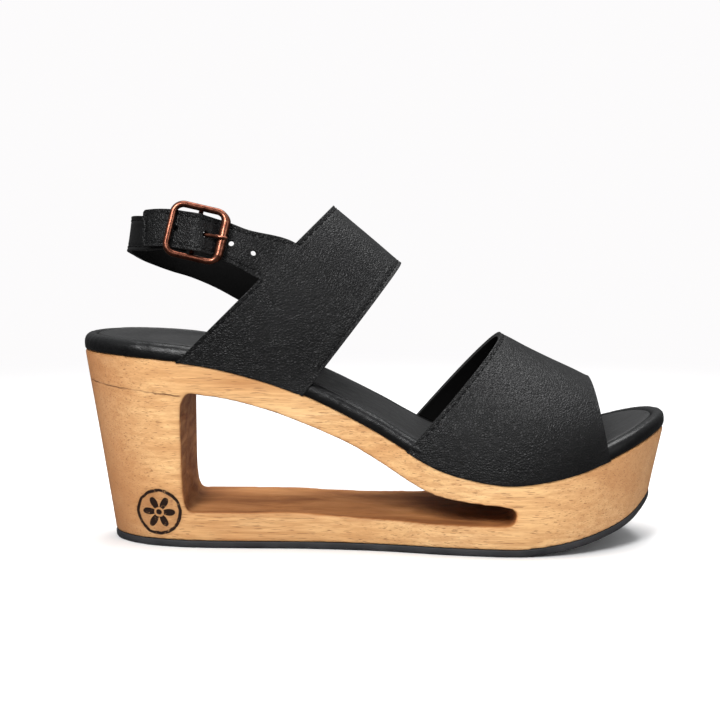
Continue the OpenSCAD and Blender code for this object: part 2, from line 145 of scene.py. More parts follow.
def new_object(name, verts, faces, mats, index=None):
    me = bpy.data.meshes.new(name)
    me.from_pydata((np.asarray(verts, float) * MM).tolist(), [], [list(map(int, f)) for f in faces])
    for m in mats:
        me.materials.append(m)
    if index is not None:
        me.polygons.foreach_set("material_index", np.asarray(index, np.int32))
    me.polygons.foreach_set("use_smooth", [True] * len(me.polygons))
    me.validate()
    me.update()
    ob = bpy.data.objects.new(name, me)
    bpy.context.scene.collection.objects.link(ob)
    return ob


def apply_modifiers(ob):
    dg = bpy.context.evaluated_depsgraph_get()
    me = bpy.data.meshes.new_from_object(ob.evaluated_get(dg))
    ob.modifiers.clear()
    old = ob.data
    ob.data = me
    bpy.data.meshes.remove(old)
    return ob


def get_verts(ob):
    co = np.zeros(len(ob.data.vertices) * 3, np.float32)
    ob.data.vertices.foreach_get("co", co)
    return co.reshape(-1, 3).astype(float) / MM


def set_verts(ob, v):
    ob.data.vertices.foreach_set("co", (np.asarray(v) * MM).astype(np.float32).ravel())
    ob.data.update()


def get_normals(ob):
    n = np.zeros(len(ob.data.vertices) * 3, np.float32)
    ob.data.vertex_normals.foreach_get("vector", n)
    return n.reshape(-1, 3).astype(float)


def paint(ob, name, value):
    """A grey colour attribute from one number per vertex."""
    v = np.clip(np.asarray(value, np.float32), 0, 1)
    a = ob.data.color_attributes.new(name, "FLOAT_COLOR", "POINT")
    a.data.foreach_set("color", np.stack([v, v, v, np.ones_like(v)], 1).ravel())


def noise_at(p, scale, seed=0.0):
    """Smooth noise from about -1 to 1 at each point, for features about scale millimetres across."""
    return np.array([noise.noise(Vector((x / scale + seed, y / scale - seed, z / scale + 2 * seed)))
                     for x, y, z in p])


def grid_faces(nu, nv, start=0, closed=False):
    i, j = np.meshgrid(np.arange(nu if closed else nu - 1), np.arange(nv - 1), indexing="ij")
    a, b = start + i * nv + j, start + ((i + 1) % nu) * nv + j
    return np.stack([a, b, b + 1, a + 1], -1).reshape(-1, 4)


def surface_normals(v, f):
    d = np.cross(v[f[:, 2]] - v[f[:, 0]], v[f[:, 3]] - v[f[:, 1]])
    n = np.zeros_like(v)
    for k in range(4):
        np.add.at(n, f[:, k], d)
    return unit(n)


def border_edges(f):
    """Directed edges that only one face uses."""
    e = np.concatenate([f[:, [k, (k + 1) % 4]] for k in range(4)])
    used = {tuple(x) for x in e.tolist()}
    return np.array([x for x in e.tolist() if (x[1], x[0]) not in used])


def thick(name, v, f, outer, inner, mats, normals=None, bevel=0.3):
    """Closed leather between two offsets along the normals of a surface that faces away from the foot."""
    n = surface_normals(v, f) if normals is None else normals
    count = len(v)
    e = border_edges(f)
    outer, inner = np.broadcast_to(outer, count)[:, None], np.broadcast_to(inner, count)[:, None]
    verts = np.concatenate([v + outer * n, v + inner * n])
    sides = np.stack([e[:, 1], e[:, 0], e[:, 0] + count, e[:, 1] + count], 1)
    faces = np.concatenate([f, f[:, ::-1] + count, sides])
    index = [0] * len(f) + [1] * len(f) + [2] * len(sides)
    ob = new_object(name, verts, faces, mats, index)
    if bevel:
        m = ob.modifiers.new("edge", "BEVEL")
        m.width, m.segments, m.limit_method, m.angle_limit = bevel * MM, 3, "ANGLE", math.radians(50)
        m.harden_normals = False
        apply_modifiers(ob)
    return ob


def tube(path, radius_a, radius_b, side, sides=16, closed=False, caps=True):
    """Vertices and faces of a tube round a path; side is the direction that radius_a is measured along."""
    n = len(path)
    t = unit(np.roll(path, -1, 0) - np.roll(path, 1, 0)) if closed else unit(np.gradient(path, axis=0))
    b = unit(np.cross(t, np.broadcast_to(side, path.shape)))
    a = np.cross(b, t)
    q = np.radians(np.arange(sides) * 360 / sides)
    ra, rb = np.broadcast_to(radius_a, n)[:, None, None], np.broadcast_to(radius_b, n)[:, None, None]
    cos, sin = np.cos(q)[None, :, None], np.sin(q)[None, :, None]
    v = path[:, None] + ra * a[:, None] * cos + rb * b[:, None] * sin
    faces = []
    for i in range(n if closed else n - 1):
        for j in range(sides):
            k = (i + 1) % n
            e = (j + 1) % sides
            faces.append([i * sides + j, i * sides + e, k * sides + e, k * sides + j])
    if caps and not closed:
        faces += [list(range(sides))[::-1], [(n - 1) * sides + j for j in range(sides)]]
    return v.reshape(-1, 3), faces


def stitch_rows(name, rows, mat, pitch=3.3, length=2.5, r=0.34):
    """Separate stitches along rows; a row is (points, normals) on the leather's surface."""
    m, k = 9, 8
    u = np.linspace(-1, 1, m)
    ang = np.arange(k) * 2 * np.pi / k
    width = np.sqrt(np.clip(1 - np.abs(u) ** 2.6, 0.04, 1))
    verts, faces = [], []
    for pts, nor in rows:
        seg = np.linalg.norm(np.diff(pts, axis=0), axis=1)
        s = np.concatenate([[0], np.cumsum(seg)])
        count = int((s[-1] - 1) / pitch)
        at = 0.5 + (s[-1] - 1) * (np.arange(count) + 0.5) / max(count, 1)
        for c in at:
            ss = c + u * length / 2
            p = np.stack([np.interp(ss, s, pts[:, q]) for q in range(3)], -1)
            nn = unit(np.stack([np.interp(ss, s, nor[:, q]) for q in range(3)], -1))
            tt = unit(np.gradient(p, axis=0))
            bb = np.cross(nn, tt)
            sink = 0.12 - 0.5 * r * (1 - np.abs(u) ** 3)
            start = len(verts) * m * k
            ring = (p - nn * sink[:, None])[:, None] + r * width[:, None, None] * (
                np.cos(ang)[None, :, None] * bb[:, None] + np.sin(ang)[None, :, None] * nn[:, None] * 0.85)
            verts.append(ring.reshape(-1, 3))
            for i in range(m - 1):
                for j in range(k):
                    faces.append([start + i * k + j, start + i * k + (j + 1) % k,
                                  start + (i + 1) * k + (j + 1) % k, start + (i + 1) * k + j])
            faces.append([start + j for j in range(k)][::-1])
            faces.append([start + (m - 1) * k + j for j in range(k)])
    return new_object(name, np.concatenate(verts), faces, [mat])


# ---------------------------------------------------------------- materials

class Nodes:
    """Short ways to write a node tree."""

    def __init__(self, name):
        self.mat = bpy.data.materials.new(name)
        self.mat.use_nodes = True
        self.t = self.mat.node_tree
        self.bsdf = self.t.nodes["Principled BSDF"]

    def add(self, kind, **values):
        n = self.t.nodes.new(kind)
        for k, v in values.items():
            setattr(n, k, v)
        return n

    def link(self, a, b):
        self.t.links.new(a, b)

    def set(self, **values):
        for k, v in values.items():
            self.bsdf.inputs[k.replace("_", " ")].default_value = v

    def position(self, scale=(1, 1, 1), offset=(0, 0, 0), turn=(0, 0, 0)):
        tc = self.add("ShaderNodeTexCoord")
        m = self.add("ShaderNodeMapping")
        m.inputs["Scale"].default_value = scale
        m.inputs["Location"].default_value = offset
        m.inputs["Rotation"].default_value = turn
        self.link(tc.outputs["Object"], m.inputs["Vector"])
        return m.outputs["Vector"]

    def noise(self, vector, scale, detail=4, rough=0.55, distortion=0.0):
        n = self.add("ShaderNodeTexNoise")
        n.inputs["Scale"].default_value = scale
        n.inputs["Detail"].default_value = detail
        n.inputs["Roughness"].default_value = rough
        n.inputs["Distortion"].default_value = distortion
        self.link(vector, n.inputs["Vector"])
        return n.outputs["Fac"]

    def ramp(self, value, stops):
        r = self.add("ShaderNodeValToRGB")
        while len(r.color_ramp.elements) < len(stops):
            r.color_ramp.elements.new(0.5)
        for e, (p, c) in zip(r.color_ramp.elements, stops):
            e.position = p
            e.color = (c, c, c, 1) if isinstance(c, (int, float)) else (*c, 1)
        self.link(value, r.inputs["Fac"])
        return r.outputs["Color"]

    def math(self, op, a, b=None, c=None, clamp=False):
        m = self.add("ShaderNodeMath", operation=op, use_clamp=clamp)
        for k, v in enumerate((a, b, c)):
            if v is None:
                continue
            if isinstance(v, (int, float)):
                m.inputs[k].default_value = v
            else:
                self.link(v, m.inputs[k])
        return m.outputs[0]

    def mul(self, a, b, **kw):
        return self.math("MULTIPLY", a, b, **kw)

    def sub(self, a, b, **kw):
        return self.math("SUBTRACT", a, b, **kw)

    def mul_add(self, a, b, c, **kw):
        return self.math("MULTIPLY_ADD", a, b, c, **kw)

    def mix(self, fac, a, b):
        m = self.add("ShaderNodeMix", data_type="RGBA")
        for key, v in (("Factor", fac), ("A", a), ("B", b)):
            kind = "VALUE" if key == "Factor" else "RGBA"
            sock = next(s for s in m.inputs if s.name == key and s.type == kind)
            if isinstance(v, (int, float)):
                sock.default_value = v
            elif isinstance(v, tuple):
                sock.default_value = (*v, 1)
            else:
                self.link(v, sock)
        return next(s for s in m.outputs if s.type == "RGBA")

    def step(self, v, a, b):
        """0 below a, 1 above b, smooth between; a may be the greater."""
        r = self.add("ShaderNodeMapRange", interpolation_type="SMOOTHSTEP")
        r.inputs["From Min"].default_value, r.inputs["From Max"].default_value = min(a, b), max(a, b)
        if a > b:
            r.inputs["To Min"].default_value, r.inputs["To Max"].default_value = 1, 0
        self.link(v, r.inputs["Value"])
        return r.outputs["Result"]

    def attribute(self, name):
        return self.add("ShaderNodeAttribute", attribute_name=name).outputs["Fac"]

    def bump(self, heights):
        """Chains bumps; each is (height, strength, distance in millimetres)."""
        last = None
        for h, strength, distance in heights:
            b = self.add("ShaderNodeBump")
            b.inputs["Strength"].default_value = strength
            b.inputs["Distance"].default_value = distance * MM
            self.link(h, b.inputs["Height"])
            if last:
                self.link(last, b.inputs["Normal"])
            last = b.outputs["Normal"]
        self.link(last, self.bsdf.inputs["Normal"])

    def color(self, v):
        self.link(v, self.bsdf.inputs["Base Color"])

    def rough(self, v):
        self.link(v, self.bsdf.inputs["Roughness"])


def leather_material(name, base, light, rough, grain, size, specular, soft=0.5):
    """Grained leather: pebbles and the creases between them, the creases darkened as painted shade, with soft
    patches of painted sheen.

    base is its colour and light the colour of its painted sheen, rough its least and most roughness, size the
    pebbles to a metre.
    """
    m = Nodes(name)
    p = m.position()
    warp = m.noise(p, 260, 3)
    cells = m.add("ShaderNodeTexVoronoi", feature="DISTANCE_TO_EDGE")
    cells.inputs["Scale"].default_value = size
    shift = m.add("ShaderNodeTexNoise")
    shift.inputs["Scale"].default_value = 420
    scale = m.add("ShaderNodeVectorMath", operation="SCALE")
    scale.inputs["Scale"].default_value = 0.0012
    offset = m.add("ShaderNodeVectorMath", operation="ADD")
    for a, b in ((p, shift.inputs["Vector"]), (shift.outputs["Color"], scale.inputs[0]),
                 (p, offset.inputs[0]), (scale.outputs[0], offset.inputs[1]),
                 (offset.outputs[0], cells.inputs["Vector"])):
        m.link(a, b)
    pebble = m.ramp(cells.outputs["Distance"], [(0.0, 0.0), (0.28, 0.85), (0.6, 1.0)])
    fine = m.noise(p, 2600, 2)
    crease = m.noise(p, 120, 4, 0.6)
    patches = m.noise(p, 38, 3, 0.5)
    # painted sheen: soft patches of the lighter colour
    tone = m.mix(m.ramp(patches, [(0.3, 0.0), (0.75, 1.0)]), base, light)
    # painted shade: the creases between the pebbles are darkened
    tone = m.mix(m.mul(m.sub(1.0, pebble), 0.45), tone, tuple(c * 0.35 for c in base))
    m.color(tone)
    m.rough(m.mul_add(m.ramp(warp, [(0.25, 0.0), (0.8, 1.0)]), rough[1] - rough[0], rough[0]))
    m.set(Specular_IOR_Level=specular)
    m.bump([(crease, 0.35 * soft, 1.2), (pebble, 0.55 * grain, 0.16), (fine, 0.25, 0.05)])
    return m.mat


def wood_material():
    """Pale hardwood: long soft bands, fine streaks and short dark pores; stained inside the waist, with
    painted shade there and towards the heel's back, the toe and the bottom.
    """
    m = Nodes("platform_wood")
    p = m.position()
    bands = m.noise(m.position((6, 30, 34), (0.3, 0.1, 0.2)), 1.0, 5, 0.55, 0.8)
    streaks = m.noise(m.position((18, 380, 460)), 1.0, 7, 0.68, 0.25)
    fine = m.noise(m.position((70, 1700, 1900)), 1.0, 3, 0.6)
    pores = m.noise(m.position((130, 1900, 2300), (0, 0.7, 0)), 1.0, 2, 0.5)
    pore_mask = m.ramp(pores, [(0.60, 0.0), (0.67, 1.0)])
    patch = m.noise(p, 22, 3, 0.5)
    tone = m.ramp(bands, [(0.26, (0.42, 0.196, 0.072)), (0.42, (0.58, 0.316, 0.130)),
                          (0.55, (0.67, 0.412, 0.188)), (0.72, (0.76, 0.512, 0.27))])
    tone = m.mix(m.mul(m.ramp(streaks, [(0.40, 1.0), (0.57, 0.0)]), 0.55), tone, (0.36, 0.150, 0.046))
    tone = m.mix(m.mul(m.ramp(fine, [(0.4, 1.0), (0.6, 0.0)]), 0.28), tone, (0.34, 0.155, 0.055))
    tone = m.mix(m.mul(m.ramp(patch, [(0.3, 0.0), (0.7, 1.0)]), 0.20), tone, (0.80, 0.52, 0.24))
    # painted shade towards the heel's back, the toe and the bottom, broken up by the streaks
    ends = m.mul(m.attribute("EndAndBottomShade"), m.mul_add(streaks, 0.5, 0.55), clamp=True)
    tone = m.mix(m.mul(ends, 0.92), tone, (0.27, 0.090, 0.027))
    tone = m.mix(m.mul(pore_mask, 0.60), tone, (0.16, 0.062, 0.020))
    stain = m.attribute("Stain")
    wash = m.noise(m.position((22, 60, 260), (0.5, 0.2, 0.1)), 1.0, 6, 0.62, 0.5)
    # painted shade: the dark tone inside the waist, used where the Shade attribute is high
    dark = m.ramp(wash, [(0.3, (0.022, 0.0050, 0.0020)), (0.5, (0.048, 0.0125, 0.0045)),
                         (0.72, (0.115, 0.036, 0.012))])
    pale = m.ramp(wash, [(0.3, (0.26, 0.088, 0.026)), (0.5, (0.47, 0.190, 0.062)),
                         (0.72, (0.66, 0.31, 0.115))])
    inside = m.mix(m.attribute("Shade"), pale, dark)
    tone = m.mix(stain, tone, inside)

    # glue line across the heel, and a generic burned mark on its outer side: a ring with six petals
    where = m.add("ShaderNodeSeparateXYZ")
    m.link(m.position(), where.inputs[0])
    x, y, z = where.outputs
    wob = m.noise(p, 260, 3)
    line = m.math("ABSOLUTE", m.sub(z, m.mul_add(x, -0.10, m.mul_add(wob, 0.0012, 0.0566))))
    kerf = m.mul(m.step(line, 0.00042, 0.00016), m.step(x, -0.0795, -0.0815))
    kerf = m.mul(kerf, m.sub(1.0, stain, clamp=True))
    kerf = m.mul(kerf, m.step(m.noise(p, 90, 3), 0.30, 0.62))
    tone = m.mix(m.mul(kerf, 0.80), tone, (0.10, 0.035, 0.012))
    dx, dz = m.math("ADD", x, 0.0905), m.sub(z, 0.0150)
    rad = m.math("SQRT", m.math("ADD", m.mul(dx, dx), m.mul(dz, dz)))
    rad = m.math("ADD", rad, m.mul_add(wob, 0.0014, -0.0007))
    lobes = m.math("POWER", m.math("ABSOLUTE", m.math("COSINE", m.mul(m.math("ARCTAN2", dz, dx), 3.0))), 0.75)
    ring = m.step(m.math("ABSOLUTE", m.sub(rad, 0.0093)), 0.00085, 0.00045)
    petal = m.mul(m.step(m.mul_add(lobes, -0.0072, rad), 0.0002, -0.0003), m.step(rad, 0.0019, 0.0023))
    mark = m.math("MAXIMUM", m.math("MAXIMUM", ring, petal), m.step(rad, 0.0014, 0.0010))
    outer = m.step(y, -0.010, -0.012)
    mark = m.mul(mark, outer)
    scorch = m.mul(m.step(rad, 0.0120, 0.0085), outer)
    tone = m.mix(m.mul(scorch, m.mul(wob, 0.75)), tone, (0.20, 0.070, 0.020))
    tone = m.mix(m.mul(mark, m.step(m.noise(p, 700, 3), 0.18, 0.42)), tone, (0.016, 0.006, 0.003))
    m.color(tone)
    r = m.mul_add(streaks, 0.22, 0.36)
    m.rough(m.mul_add(stain, 0.32, r, clamp=True))
    m.set(Specular_IOR_Level=0.22, Coat_Weight=0.04, Coat_Roughness=0.30)
    m.bump([(streaks, 0.30, 0.12), (fine, 0.22, 0.04), (m.sub(1.0, pore_mask), 0.5, 0.08),
            (m.sub(1.0, m.math("MAXIMUM", mark, kerf)), 0.8, 0.35)])
    return m.mat


def rubber_material():
    m = Nodes("outsole_rubber")
    p = m.position()
    dust = m.noise(p, 60, 5, 0.6)
    grit = m.noise(p, 1500, 3, 0.6)
    m.color(m.ramp(dust, [(0.3, (0.012, 0.012, 0.014)), (0.7, (0.032, 0.032, 0.035))]))
    m.rough(m.mul_add(dust, 0.25, 0.52))
    m.set(Specular_IOR_Level=0.4)
    m.bump([(grit, 0.35, 0.10), (dust, 0.15, 0.3)])
    return m.mat


def copper_material():
    """Copper plate, darkened in the hollows and rubbed bright on the outer faces, with a painted highlight
    along the back bar's inner edge.
    """
    m = Nodes("buckle_copper")
    p = m.position()
    patina = m.noise(p, 330, 5, 0.6)
    wear_and_highlight = m.attribute("WearAndHighlight")
    fine = m.noise(p, 2200, 3, 0.6)
    # the rubbed colour also carries the painted highlight on the back bar's inner edge
    rub_and_highlight = m.mul(wear_and_highlight, m.ramp(patina, [(0.34, 0.25), (0.62, 1.0)]))
    tone = m.mix(m.ramp(patina, [(0.3, 0.0), (0.7, 1.0)]), (0.030, 0.0085, 0.0055), (0.105, 0.030, 0.018))
    tone = m.mix(rub_and_highlight, tone, (0.32, 0.122, 0.076))
    m.color(tone)
    m.rough(m.mul_add(fine, 0.20, 0.20))
    m.set(Metallic=1.0)
    m.bump([(fine, 0.25, 0.03), (patina, 0.2, 0.10)])
    return m.mat


def thread_material():
    m = Nodes("black_thread")
    p = m.position()
    twist = m.add("ShaderNodeTexWave")
    twist.inputs["Scale"].default_value = 900
    m.link(m.position((1, 1, 1), (0, 0, 0), (0.6, 0.5, 0.4)), twist.inputs["Vector"])
    m.color(m.ramp(m.noise(p, 700, 3), [(0.3, (0.0012, 0.0012, 0.0014)), (0.7, (0.0045, 0.0045, 0.005))]))
    m.set(Roughness=0.60, Specular_IOR_Level=0.15)
    m.bump([(twist.outputs["Fac"], 0.5, 0.08)])
    return m.mat


def plain_material(name, a, b, scale, rough, metallic=0.0, bump=0.2):
    m = Nodes(name)
    p = m.position()
    f = m.noise(p, scale, 5, 0.6)
    m.color(m.ramp(f, [(0.3, a), (0.7, b)]))
    m.rough(m.mul_add(f, 0.15, rough))
    m.set(Metallic=metallic)
    m.bump([(m.noise(p, scale * 6, 3), bump, 0.1)])
    return m.mat


WOOD = wood_material()
RUBBER = rubber_material()
COPPER = copper_material()
THREAD = thread_material()
# each leather's second colour is its painted sheen
UPPER = leather_material("upper_leather", (0.0022, 0.0022, 0.0024), (0.0050, 0.0050, 0.0054),
                         (0.36, 0.52), 1.7, 1000, 0.28)
SMOOTH = leather_material("smooth_leather", (0.0022, 0.0022, 0.0024), (0.0045, 0.0045, 0.0049),
                          (0.32, 0.46), 0.35, 1300, 0.26, 0.8)
LINING = leather_material("lining_leather", (0.0020, 0.0019, 0.0019), (0.0042, 0.0040, 0.0040),
                          (0.60, 0.78), 0.3, 1500, 0.16)
RAW_EDGE = plain_material("leather_edge", (0.0015, 0.0015, 0.0017), (0.0045, 0.0042, 0.0042), 500, 0.55)
# the sock's lighter grey is partly its suede and partly a painted sheen
SOCK = leather_material("sock_leather", (0.0125, 0.0125, 0.0127), (0.0245, 0.0245, 0.0248),
                        (0.50, 0.66), 0.5, 1400, 0.30)
RAND = leather_material("rand_leather", (0.0020, 0.0020, 0.0023), (0.0042, 0.0042, 0.0046),
                        (0.26, 0.42), 0.45, 1200, 0.30, 1.0)
FOAM = plain_material("insole_foam", (0.10, 0.10, 0.10), (0.16, 0.16, 0.16), 400, 0.85)
FIBRE = plain_material("insole_fibre", (0.30, 0.20, 0.11), (0.42, 0.31, 0.19), 200, 0.75)
STEEL = plain_material("tack_steel", (0.35, 0.35, 0.36), (0.55, 0.55, 0.56), 300, 0.30, 1.0)


# ---------------------------------------------------------------- platform

def waist_polygon():
    xs = np.linspace(-77, 52, 90)
    low = np.stack([xs, curve(WAIST_FLOOR, xs)], 1)
    high = np.stack([xs, curve(WAIST_CEILING, xs)], 1)[::-1]
    a = np.radians(np.arange(-60, 61, 8))
    nose = WAIST_NOSE + WAIST_NOSE_R * np.stack([np.cos(a), np.sin(a)], 1)
    back = path_at([[-78.6, 65.2], [-80.4, 60.5], [-80.5, 50], [-80.4, 40], [-80.1, 28], [-79.6, 20.5],
                    [-78.4, 16.4]], np.linspace(0, 1, 30))
    return np.concatenate([low, nose, high, back])


def extruded(name, poly, y):
    n = len(poly)
    v = np.concatenate([np.stack([poly[:, 0], np.full(n, s), poly[:, 1]], 1) for s in (-y, y)])
    f = [[i, (i + 1) % n, (i + 1) % n + n, i + n] for i in range(n)]
    return new_object(name, v, f + [list(range(n))[::-1], list(range(n, 2 * n))], [])


def make_platform():
    t = np.concatenate([[0.8, 1.6], np.linspace(3, 177, 117), [178.4, 179.2]])
    rows = 26
    k = np.linspace(0, 1, rows)
    loop = []
    for side, order in ((-1, k), (1, k[::-1])):
        e = edge_xy(side, t)
        s = (e[:, 0] + HALF_LEN) / (2 * HALF_LEN)
        low = np.stack([BOTTOM_BACK + (BOTTOM_FRONT - BOTTOM_BACK) * s, e[:, 1] * FOOT_TAPER], -1)
        for f in order:
            xy = e * (1 - f) + low * f
            z = top_z(e[:, 0]) * (1 - f) + (OUTSOLE_T + ground_z(low[:, 0])) * f
            # sides are very slightly hollowed, as when they are sanded by hand
            xy = xy - np.stack([np.zeros(len(t)), side * 0.5 * np.sin(np.pi * f) * np.ones(len(t))], -1)
            loop.append(np.concatenate([xy, z[:, None]], 1))
    g = np.stack(loop, 1)
    nu, nv = g.shape[:2]
    faces = []
    for i in range(nu - 1):
        for j in range(nv):
            a, b = i * nv + j, i * nv + (j + 1) % nv
            faces.append([a, b, b + nv, a + nv])
    faces += [list(range(nv))[::-1], [(nu - 1) * nv + j for j in range(nv)]]
    ob = new_object("platform", g.reshape(-1, 3), faces, [WOOD])
    cut = extruded("waist_cut", waist_polygon(), 80)
    for o in (ob, cut):
        bm = bmesh.new()
        bm.from_mesh(o.data)
        bmesh.ops.recalc_face_normals(bm, faces=bm.faces)
        bm.to_mesh(o.data)
        bm.free()
    b = ob.modifiers.new("cut", "BOOLEAN")
    b.operation, b.object, b.solver = "DIFFERENCE", cut, "EXACT"
    r = ob.modifiers.new("remesh", "REMESH")
    r.mode, r.voxel_size, r.use_smooth_shade = "VOXEL", (0.85 if FINE else 1.5) * MM, True
    s = ob.modifiers.new("round", "SMOOTH")
    s.factor, s.iterations = 0.5, 7 if FINE else 3
    apply_modifiers(ob)
    bpy.data.objects.remove(cut)
    if not ob.data.materials:
        ob.data.materials.append(WOOD)

    v, n = get_verts(ob), get_normals(ob)
    poly = waist_polygon()
    seg_a, seg_b = poly, np.roll(poly, -1, 0)
    d = seg_b - seg_a
    best = np.full(len(v), 1e9)
    xz = v[:, [0, 2]]
    for a, dd in zip(seg_a, d):
        u = np.clip(((xz - a) @ dd) / max(dd @ dd, 1e-9), 0, 1)
        best = np.minimum(best, np.linalg.norm(xz - a - u[:, None] * dd, axis=1))
    inside = (1 - smooth(0.45, 0.85, np.abs(n[:, 1]))) * (1 - smooth(1.0, 2.2, best))
    # gouge marks inside the waist, away from its rims
    t_in = angle_of(v[:, 0])
    deep = smooth(1.0, 9.0, np.minimum(v[:, 1] - edge_xy(-1, t_in)[:, 1], edge_xy(1, t_in)[:, 1] - v[:, 1]))
    scoop = noise_at(v * [1, 0.8, 1], 13, 3.1) * 0.40 + noise_at(v, 6, 8.3) * 0.15
    v = v - n * (inside * deep * (0.2 + scoop))[:, None]
    v = v - n * (0.06 * (1 - inside) * noise_at(v, 24, 5.7))[:, None]
    set_verts(ob, v)
    # painted shade inside the waist, kept in the Shade attribute: darker at the heel end wall, under the
    # ceiling and higher up the walls
    wall = 1 - smooth(-79, -72, v[:, 0])
    ceiling = smooth(0.2, 0.8, -n[:, 2])
    rim = (1 - inside) * (1 - smooth(0.2, 2.6, best)) * (0.25 + 0.35 * (0.5 + 0.5 * noise_at(v, 7, 1.9)))
    paint(ob, "Stain", np.clip(inside + rim * 0.55, 0, 1))
    above_floor = smooth(20, 60, np.abs(v[:, 2] - 15))
    paint(ob, "Shade", np.clip(np.maximum(0.35 * wall, ceiling * 0.8) + 0.25 * above_floor, 0, 1))
    # painted shade towards the heel's back, the toe and the bottom of the wood
    heel = 1 - smooth(-122, -84, v[:, 0] + 0.13 * (v[:, 2] - 40))
    toe = smooth(60, 124, v[:, 0])
    under = 1 - smooth(3, 22, v[:, 2])
    paint(ob, "EndAndBottomShade", np.clip(0.95 * heel + 0.60 * toe + 0.12 * under, 0, 1))
    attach(ob, "shoe")
    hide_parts("wood_platform")
    return ob


def sole_ring(n, inset):
    """Closed bottom outline, moved inwards."""
    p = ring_outline(n)
    x = BOTTOM_BACK + (BOTTOM_FRONT - BOTTOM_BACK) * (p[:, 0] + HALF_LEN) / (2 * HALF_LEN)
    q = np.stack([x, p[:, 1] * FOOT_TAPER], 1)
    return q + inset * ring_normals(q)


def ring_faces(rings, n, flip=False):
    """Faces between closed rings of n points."""
    faces = []
    for k in range(rings - 1):
        for i in range(n):
            a, b = k * n + i, k * n + (i + 1) % n
            faces.append([a, a + n, b + n, b] if flip else [a, b, b + n, a + n])
    return faces


def fill_inside(v, ring_start, n, across, height):
    """Adds rows across a closed ring of n points that starts at the heel; returns new vertices and faces."""
    half = n // 2
    ring = np.array(v[ring_start:ring_start + n])
    new, faces = [], []
    base = len(v)
    index = {}
    for i in range(1, half):
        a, b = ring[i], ring[n - i]
        for j in range(1, across):
            f = j / across
            p = a * (1 - f) + b * f
            index[i, j] = base + len(new)
            new.append(height(p, f))
        index[i, 0], index[i, across] = ring_start + i, ring_start + n - i
    for i in range(1, half - 1):
        for j in range(across):
            faces.append([index[i, j], index[i + 1, j], index[i + 1, j + 1], index[i, j + 1]])
    faces.append([ring_start] + [index[1, j] for j in range(across + 1)])
    faces.append([ring_start + half] + [index[half - 1, j] for j in range(across, -1, -1)])
    return new, faces


def make_outsole():
    n = 360
    prof = [(0.9, 3.0), (0.0, 3.0), (-0.12, 2.6), (-0.15, 1.5), (-0.05, 0.6), (0.25, 0.15), (0.8, 0.0),
            (2.2, 0.0), (2.8, 0.35)]
    v = []
    for d, h in prof:
        r = sole_ring(n, d)
        v += np.concatenate([r, (ground_z(r[:, 0]) + h)[:, None]], 1).tolist()
    m = len(prof)
    faces = ring_faces(m, n, flip=True)

    def tread(p, _):
        """Wavy ribs across the sole, 5 mm apart, with grooves 0.35 mm deep between them."""
        x, y = p[0], p[1]
        rib = 0.5 + 0.5 * math.cos(x * 2 * math.pi / 5.0 + 0.9 * math.sin(y * 2 * math.pi / 10.0))
        return [x, y, float(ground_z(x)) + 0.35 * float(1 - smooth(0.25, 0.5, rib))]

    new, f2 = fill_inside(v, (m - 1) * n, n, 70 if FINE else 30, tread)
    v += new
    faces += [f[::-1] for f in f2]
    top, f3 = fill_inside(v, 0, n, 8, lambda p, _: [p[0], p[1], float(ground_z(p[0])) + OUTSOLE_T])
    v += top
    faces += f3
    ob = new_object("outsole_sheet", v, faces, [RUBBER])
    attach(ob, "shoe")
    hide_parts("outsole")


# ---------------------------------------------------------------- footbed

